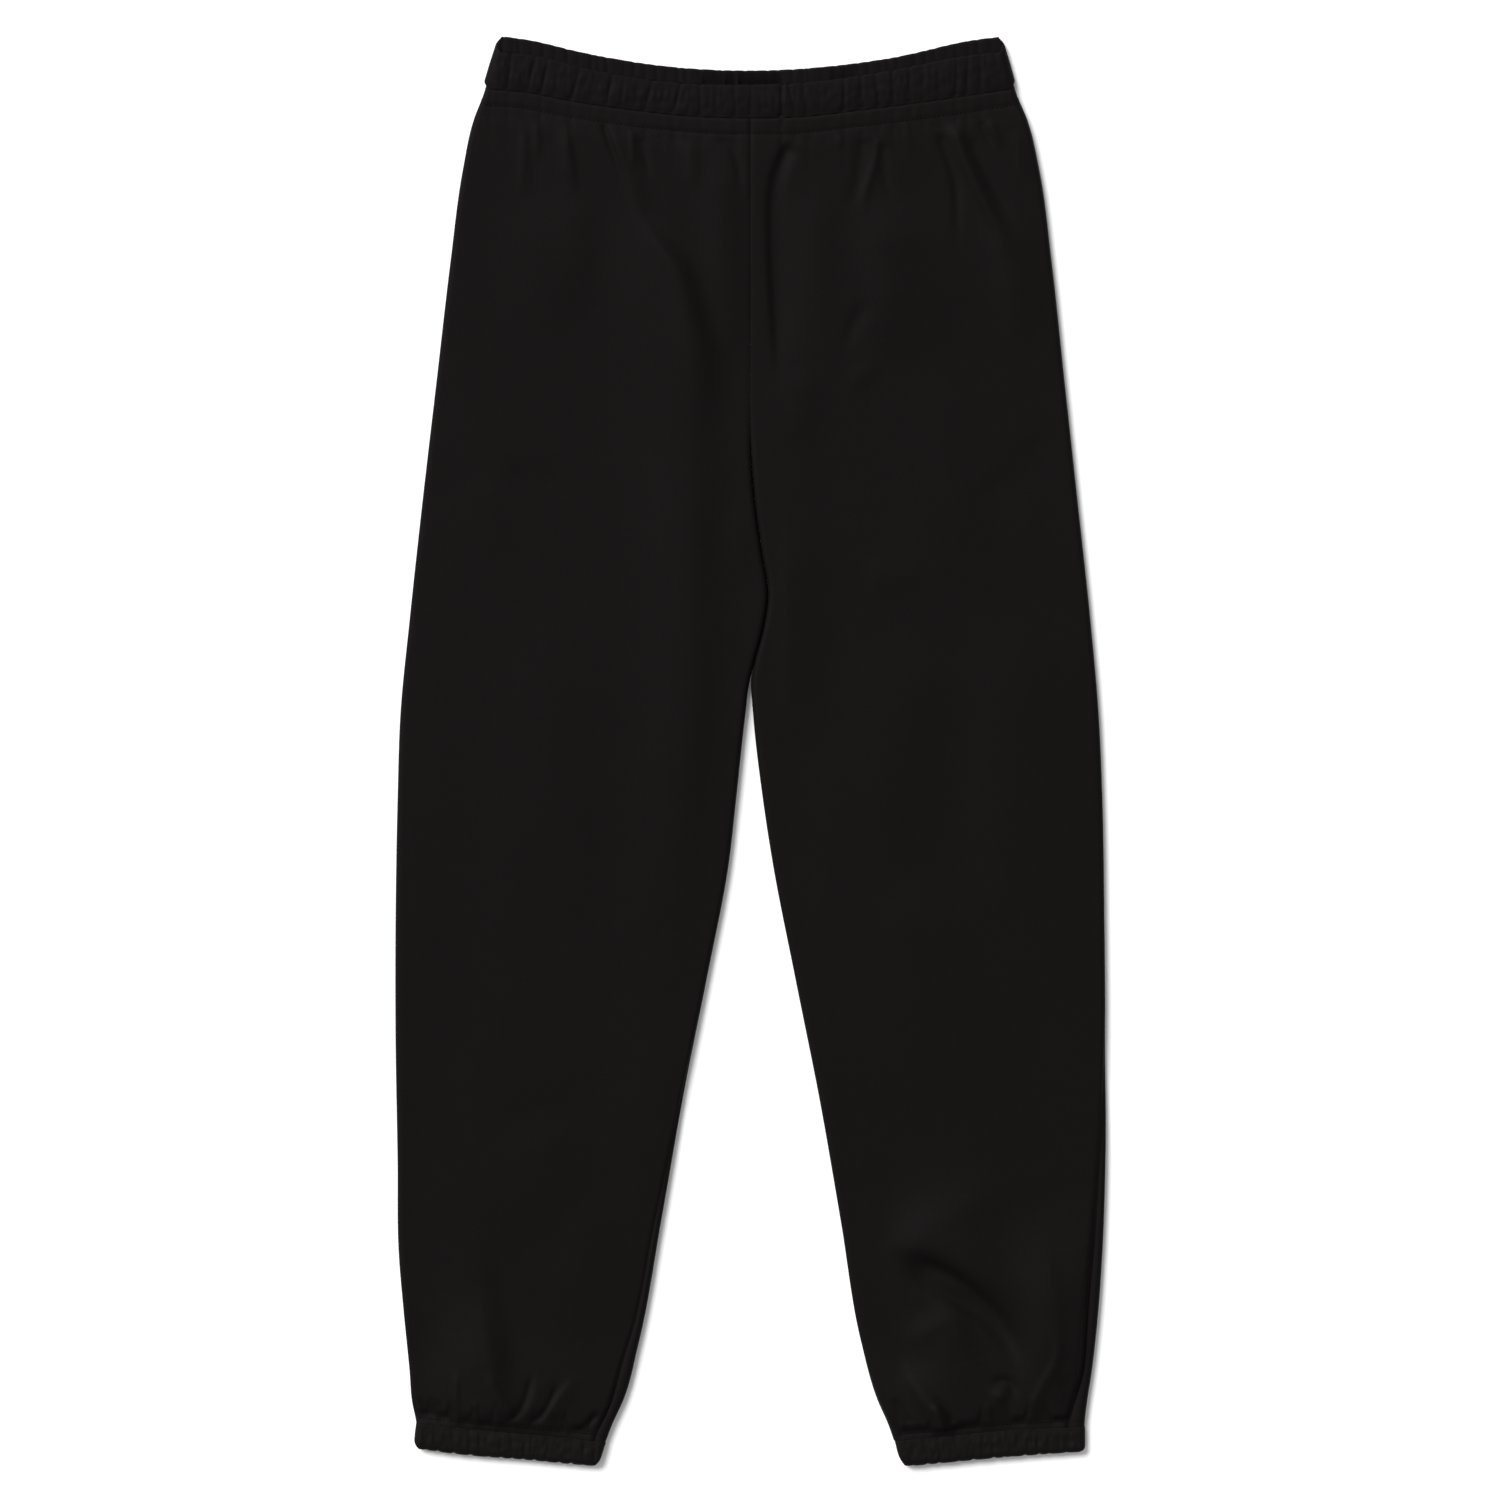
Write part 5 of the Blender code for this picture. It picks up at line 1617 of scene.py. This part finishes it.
    def back_inside(self, x: Array, from_rim: Array, back_puff: Array) -> Array:
        """How high the back's inside stands.

        What shows of it lies close to the front, or falls away behind the front in a slit.
        """
        floor = self.back_height * (0.4 + back_puff)
        if not self.back_shows:
            return floor
        showing = 1 - smooth_step((from_rim - self.back_shows) / self.SHOWN_FADE)
        floor = floor + showing * (self.SHOWN_HEIGHT + 0.2 * back_puff)
        fall = np.clip(from_rim / (self.back_shows - self.FALL_SHORT), 0.0, 1.0) ** self.FALL_POWER
        return floor - self.slit_share(x) * fall * (floor - self.SLIT_FLOOR)

    def points(self) -> tuple[Array, Array]:
        """The casing's points as closed rows of closed columns, and their UV, in mm.

        A point lies at the radius (mid + m) + outside * h of the section, where the wall's middle
        moves by m and its half thickness is h; h falls to 0 on a half circle at the rim.
        """
        place, outside = self.rows()
        share, angle = self.columns()
        frontness = (angle / QUARTER_TURN + 1) / 2
        outward = np.where(share > 0.5, 1.0, -1.0) * np.cos(angle)
        near = self.seam_ends[0] + (self.rim_ends[0] - self.seam_ends[0]) * place
        far = self.seam_ends[1] + (self.rim_ends[1] - self.seam_ends[1]) * place
        across = near + self.roll + (far - near - 2 * self.roll) * share
        x = across + self.roll * outward
        seam_y, rim_y = self.end_lines(x[0], x[self.band_cells], frontness)

        puff = puff_of(x, place + 0 * x, self.pinches)
        back_puff = puff_of(x, place + 0 * x, self.back_pinches)
        edge_puff = puff * frontness + back_puff * (1 - frontness)
        scallop = self.scallop * (0.45 + 0.55 * frontness)
        y = seam_y + (rim_y - seam_y) * place
        towards_rim = np.sign(self.rim[0].y - self.seam[0].y)
        y = y + towards_rim * scallop * (edge_puff - self.LEVEL_PUFF) * smooth_step(place)

        length = np.abs(rim_y - seam_y)
        from_rim = (1 - place) * length
        from_seam = place * length
        back = (1 - frontness) ** 2
        raised = self.gathers(x, y, place, puff) * frontness**2
        tuck = -self.sunk(x, place, from_seam, from_rim) * frontness
        floor = self.back_inside(x, from_rim, back_puff) * back
        valley = self.under_depth * (1 - back_puff) * back

        middle = self.roll - self.wall / 2 + raised / 2 - floor / 2 - valley / 2 + tuck
        half = (self.wall + raised + floor - valley) / 2 * self.rounding(from_seam, from_rim)
        reach = middle + outside * half
        z = self.roll + reach * np.sin(angle)
        around = np.stack([across + reach * outward, y, z], axis=-1)
        steps = np.hypot(np.diff(x[0]), np.diff(self.roll * np.sin(angle)))
        run = np.concatenate([[0.0], np.cumsum(steps)])
        return around, np.stack([run + 0 * x, y + 0 * x], axis=-1)

    def build(self, rests_on: str) -> None:
        """Makes the casing as a closed ring, riding on the body.

        Args:
            rests_on: what it lies on; not used.
        """
        points, uv = self.points()
        faces = ring_faces(*points.shape[:2])
        piece = new_piece(self.name, points, faces, uv, self.cloth)
        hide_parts(self.node)
        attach(piece, BODY)
        LOG.info("%s: %d faces", self.name, len(faces))


# --- Stitches ---


@dataclass
class StitchRow:
    """A row of straight stitches in black thread, on lines across several panels.

    Attributes:
        name: the piece's name.
        lines: for each line its points and outward normals, in mm.
        thread: its finish.
        pitch: from the start of one stitch to the next.
        length: of the thread that shows.
        width, height: of the thread where it stands highest.
        flatness: its thickness as a share of its width.
        sunk: how deep its ends lie in the cloth.
        tip: how far the point at each end reaches past its last ring.
        floor_clear: it stays this far above the floor.
        ends_clear: at least this much of a line has no stitches, at its two ends together.
        sides, rings: the cells of one stitch, round and along.
    """

    name: str
    lines: list[tuple[Array, Array]]
    thread: bpy.types.Material
    pitch: float = 3.4
    length: float = 2.9
    width: float = 0.62
    height: float = 0.34
    flatness: float = 0.7
    sunk: float = 0.12
    tip: float = 0.1
    floor_clear: float = 0.02
    ends_clear: float = 1.0
    sides: int = 8
    rings: int = 6

    def template(self) -> tuple[Array, Array]:
        """One stitch as a closed bead along +X, and its faces.

        At the share s of its length its radius falls off as sqrt(1 - s^4), and it arches by
        height (1 - s^2), so that both ends go down into the cloth.
        """
        s = np.linspace(-1.0, 1.0, self.rings)[:, None]
        turn = np.linspace(0.0, 2 * math.pi, self.sides, endpoint=False)
        radius = self.width / 2 * np.sqrt(np.maximum(1 - s**4, 0.05))
        x = self.length / 2 * s + 0 * turn
        y = radius * np.cos(turn)
        z = radius * np.sin(turn) * self.flatness + self.height * (1 - s**2) - self.sunk
        end_x = self.length / 2 + self.tip
        ends = np.array([[-end_x, 0.0, -self.sunk], [end_x, 0.0, -self.sunk]])
        points = np.concatenate([np.stack([x, y, z], axis=-1).reshape(-1, 3), ends])
        index = np.arange(self.rings * self.sides).reshape(self.rings, self.sides)
        wrapped = np.concatenate([index, index[:, :1]], axis=1)
        body = quads(wrapped[:-1, :-1], wrapped[1:, :-1], wrapped[1:, 1:], wrapped[:-1, 1:])
        first = np.full(self.sides // 2, self.rings * self.sides)
        odd = np.arange(0, self.sides, 2)
        start = quads(first, wrapped[0, odd], wrapped[0, odd + 1], wrapped[0, odd + 2])
        end = quads(first + 1, wrapped[-1, odd + 2], wrapped[-1, odd + 1], wrapped[-1, odd])
        return points, np.concatenate([body, start, end])

    def places(self, points: Array, normals: Array) -> tuple[Array, Array, Array]:
        """The middles, directions and normals of a line's stitches, evenly along it."""
        steps = np.linalg.norm(np.diff(points, axis=0), axis=1)
        run = np.concatenate([[0.0], np.cumsum(steps)])
        count = int((run[-1] - self.ends_clear) / self.pitch)
        first = (run[-1] - count * self.pitch) / 2
        at = first + self.pitch * (np.arange(count) + 0.5)

        def read(values: Array, where: Array) -> Array:
            """The line's values at these distances along it."""
            return np.stack([np.interp(where, run, values[:, axis]) for axis in range(3)], axis=-1)

        along = read(points, at + self.length / 2) - read(points, at - self.length / 2)
        along /= np.linalg.norm(along, axis=-1, keepdims=True)
        up = read(normals, at)
        up -= (up * along).sum(axis=-1, keepdims=True) * along
        up /= np.linalg.norm(up, axis=-1, keepdims=True)
        ends = read(points, at + self.length / 2) + read(points, at - self.length / 2)
        return ends / 2, along, up

    def build(self) -> None:
        """Makes all the stitches as one mesh, riding on the body."""
        template, faces = self.template()
        placed = [self.places(points, normals) for points, normals in self.lines]
        middle, along, up = (np.concatenate(parts) for parts in zip(*placed))
        side = np.cross(up, along)
        points = (
            middle[:, None]
            + template[:, 0, None] * along[:, None]
            + template[:, 1, None] * side[:, None]
            + template[:, 2, None] * up[:, None]
        )
        points[..., 2] = np.maximum(points[..., 2], self.floor_clear)
        offsets = np.arange(len(middle))[:, None, None] * len(template)
        uv = np.tile(template[:, :2], (len(middle), 1))
        piece = new_piece(self.name, points, (faces + offsets).reshape(-1, 4), uv, self.thread)
        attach(piece, BODY)
        LOG.info("%s: %d stitches", self.name, len(middle))


# --- Studio ---


@dataclass
class Studio:
    """The floor, the light and the camera.

    Attributes:
        frame_width: the width of what the camera sees at the garment, in metres.
        lens, sensor: the camera's, in mm.
        aim: the point that the middle of the view looks at, in metres.
        floor_size: in metres.
        floor_drop: how far the floor lies under the cloth's resting plane, in metres.
        floor_white: its colour.
        sky: the even light from all round.
        key: the strength of the soft key light.
        key_from: the direction that the key comes from, off the waist's right-hand corner.
        key_angle: how wide the key is seen, in degrees.
    """

    frame_width: float = 1.125
    lens: float = 150.0
    sensor: float = 36.0
    aim: tuple[float, float, float] = (-0.000375, 0.00075, 0.004)
    floor_size: float = 8.0
    floor_drop: float = 0.0002
    floor_white: Colour = (0.86, 0.86, 0.86, 1.0)
    sky: float = 0.52
    key: float = 5.2
    key_from: tuple[float, float, float] = (-0.63, 0.68, 0.80)
    key_angle: float = 40.0

    def add_camera(self) -> None:
        """A camera straight above the garment, which looks down with the waist at the top."""
        data = bpy.data.cameras.new("camera")
        data.lens = self.lens
        data.sensor_width = self.sensor
        data.clip_end = 50.0
        camera = bpy.data.objects.new("camera", data)
        away = self.frame_width * self.lens / self.sensor
        camera.location = (self.aim[0], self.aim[1], self.aim[2] + away)
        bpy.context.scene.collection.objects.link(camera)
        bpy.context.scene.camera = camera

    def add_light(self) -> None:
        """One broad key light and an even white surround."""
        data = bpy.data.lights.new("key", "SUN")
        data.energy = self.key
        data.angle = math.radians(self.key_angle)
        key = bpy.data.objects.new("key", data)
        x, y, z = self.key_from
        key.rotation_euler = (math.atan2(math.hypot(x, y), z), 0.0, math.atan2(x, -y))
        key.location = (2 * x, 2 * y, 2 * z)
        bpy.context.scene.collection.objects.link(key)
        world = bpy.data.worlds.new("surround")
        world.use_nodes = True
        background = world.node_tree.nodes["Background"]
        background.inputs["Color"].default_value = (1.0, 1.0, 1.0, 1.0)
        background.inputs["Strength"].default_value = self.sky
        bpy.context.scene.world = world
        bpy.context.scene.view_settings.view_transform = "Standard"

    def add_floor(self) -> None:
        """A plain pale floor."""
        half = self.floor_size / 2
        mesh = bpy.data.meshes.new("floor")
        corners = ((-half, -half), (half, -half), (half, half), (-half, half))
        mesh.from_pydata([(x, y, -self.floor_drop) for x, y in corners], [], [(0, 1, 2, 3)])
        nodes = Nodes("floor")
        nodes.shader.inputs["Base Color"].default_value = self.floor_white
        nodes.shader.inputs["Roughness"].default_value = 0.9
        nodes.shader.inputs["Specular IOR Level"].default_value = 0.0
        mesh.materials.append(nodes.material)
        floor = bpy.data.objects.new("floor", mesh)
        bpy.context.scene.collection.objects.link(floor)

    def build(self) -> None:
        """Sets up the whole studio."""
        self.add_camera()
        self.add_light()
        self.add_floor()


# --- The garment ---


RIGHT_LEG = (
    Leg.RIGHT,
    RIGHT_FRONT_FOLDS,
    RIGHT_BACK_FOLDS,
    RIGHT_HEM_PINCHES,
    RIGHT_BACK_HEM_PINCHES,
    RIGHT_HEM_POCKETS,
)
LEFT_LEG = (
    Leg.LEFT,
    LEFT_FRONT_FOLDS,
    LEFT_BACK_FOLDS,
    LEFT_HEM_PINCHES,
    LEFT_BACK_HEM_PINCHES,
    LEFT_HEM_POCKETS,
)


def build_panels(fleece: bpy.types.Material) -> list[LegPanel]:
    """The four panels, each back one before the front one that lies on it."""
    panels = []
    for leg, front_folds, back_folds, hem, back_hem, pockets in (RIGHT_LEG, LEFT_LEG):
        back = LegPanel(
            leg,
            Facing.BACK,
            back_folds,
            waist_pinches=BACK_WAIST_PINCHES,
            hem_pinches=back_hem,
            pockets=pockets_between(back_hem),
            fleece=fleece,
            flat_cells=72,
            row_scale=1.5,
        )
        front = LegPanel(
            leg,
            Facing.FRONT,
            front_folds,
            waist_pinches=WAIST_PINCHES,
            hem_pinches=hem,
            pockets=pockets,
            fleece=fleece,
            under=back,
        )
        panels += [back, front]
    for panel in panels:
        panel.build()
    return panels


def build_waistband(cloth: bpy.types.Material) -> None:
    """The waistband: its front rim dips, and the inside of its back shows above that."""
    waistband = Casing(
        "waistband",
        seam=FRONT_WAIST_SEAM,
        rim=FRONT_WAIST_RIM,
        back_rim=BACK_WAIST_RIM,
        seam_ends=(-199.8, 198.4),
        rim_ends=(-190.8, 190.4),
        pinches=WAIST_PINCHES,
        back_pinches=BACK_WAIST_PINCHES,
        cloth=cloth,
        flat=WAISTBAND_CUT,
        back_rise=FRONT_RISE_DROP,
        back_shows=12.0,
        slits=(
            Slit(-36.5, -19.0, 0.6),
            Slit(-20.0, -10.5, 0.95),
            Slit(-9.5, 24.5, 0.9),
            Slit(60.0, 80.0, 0.35),
        ),
    )
    waistband.build("floor")


def build_cuffs(cloth: bpy.types.Material) -> None:
    """The two cuffs, each with its own corners."""
    right = (RIGHT_CUFF_SEAM, RIGHT_CUFF_RIM, RIGHT_CUFF_PINCHES, RIGHT_BACK_CUFF_PINCHES)
    left = (LEFT_CUFF_SEAM, LEFT_CUFF_RIM, LEFT_CUFF_PINCHES, LEFT_BACK_CUFF_PINCHES)
    cuffs = (("cuff_right", right, (3.5, 4.5)), ("cuff_left", left, (8.0, 1.0)))
    for node, (seam, rim, pinches, back_pinches), corners in cuffs:
        cuff = Casing(
            node,
            seam=seam,
            rim=rim,
            back_rim=rim,
            seam_ends=(seam[0].x, seam[-1].x),
            rim_ends=(rim[0].x, rim[-1].x),
            pinches=pinches,
            back_pinches=back_pinches,
            cloth=cloth,
            flat=CUFF_CUT,
            front_cells=230,
            back_cells=140,
            puff_height=0.52,
            crinkle_height=0.42,
            rim_round=2.6,
            rim_droop=1.5,
            corners=corners,
        )
        cuff.build("floor")


HEM_STITCHES_UP = 4.6  # how far the hem's stitches lie over the cuff seam


def build_stitches(panels: list[LegPanel], thread: bpy.types.Material) -> None:
    """The row that holds the waist's strip, and the row over each cuff."""
    waist = [panel.row_line(from_waist=panel.strip) for panel in panels]
    StitchRow("waist_stitches", waist, thread).build()
    for leg in Leg:
        hem = [panel.row_line(from_cuff=HEM_STITCHES_UP) for panel in panels if panel.leg is leg]
        StitchRow(f"hem_stitches_{leg.value}", hem, thread, pitch=3.0, length=2.5).build()


def main() -> None:
    """Builds the garment and its studio."""
    logging.basicConfig(level=logging.INFO, format="%(name)s: %(message)s")
    Studio().build()
    fleece = FleeceFinish("fleece_face")
    casing = FleeceFinish(
        "casing_face",
        dark=(0.0031, 0.00226, 0.00234, 1.0),
        light=(0.0039, 0.0029, 0.0030, 1.0),
    )
    # The cuffs' fleece is a lighter black than the legs' fleece.
    lighter_cuff_fleece = FleeceFinish(
        "cuff_face",
        dark=(0.0038, 0.0028, 0.0029, 1.0),
        light=(0.0052, 0.0040, 0.0041, 1.0),
    )
    panels = build_panels(fleece.material())
    build_waistband(casing.material())
    build_cuffs(lighter_cuff_fleece.material())
    build_stitches(panels, ThreadFinish("thread").material())


if __name__ == "__main__":
    main()
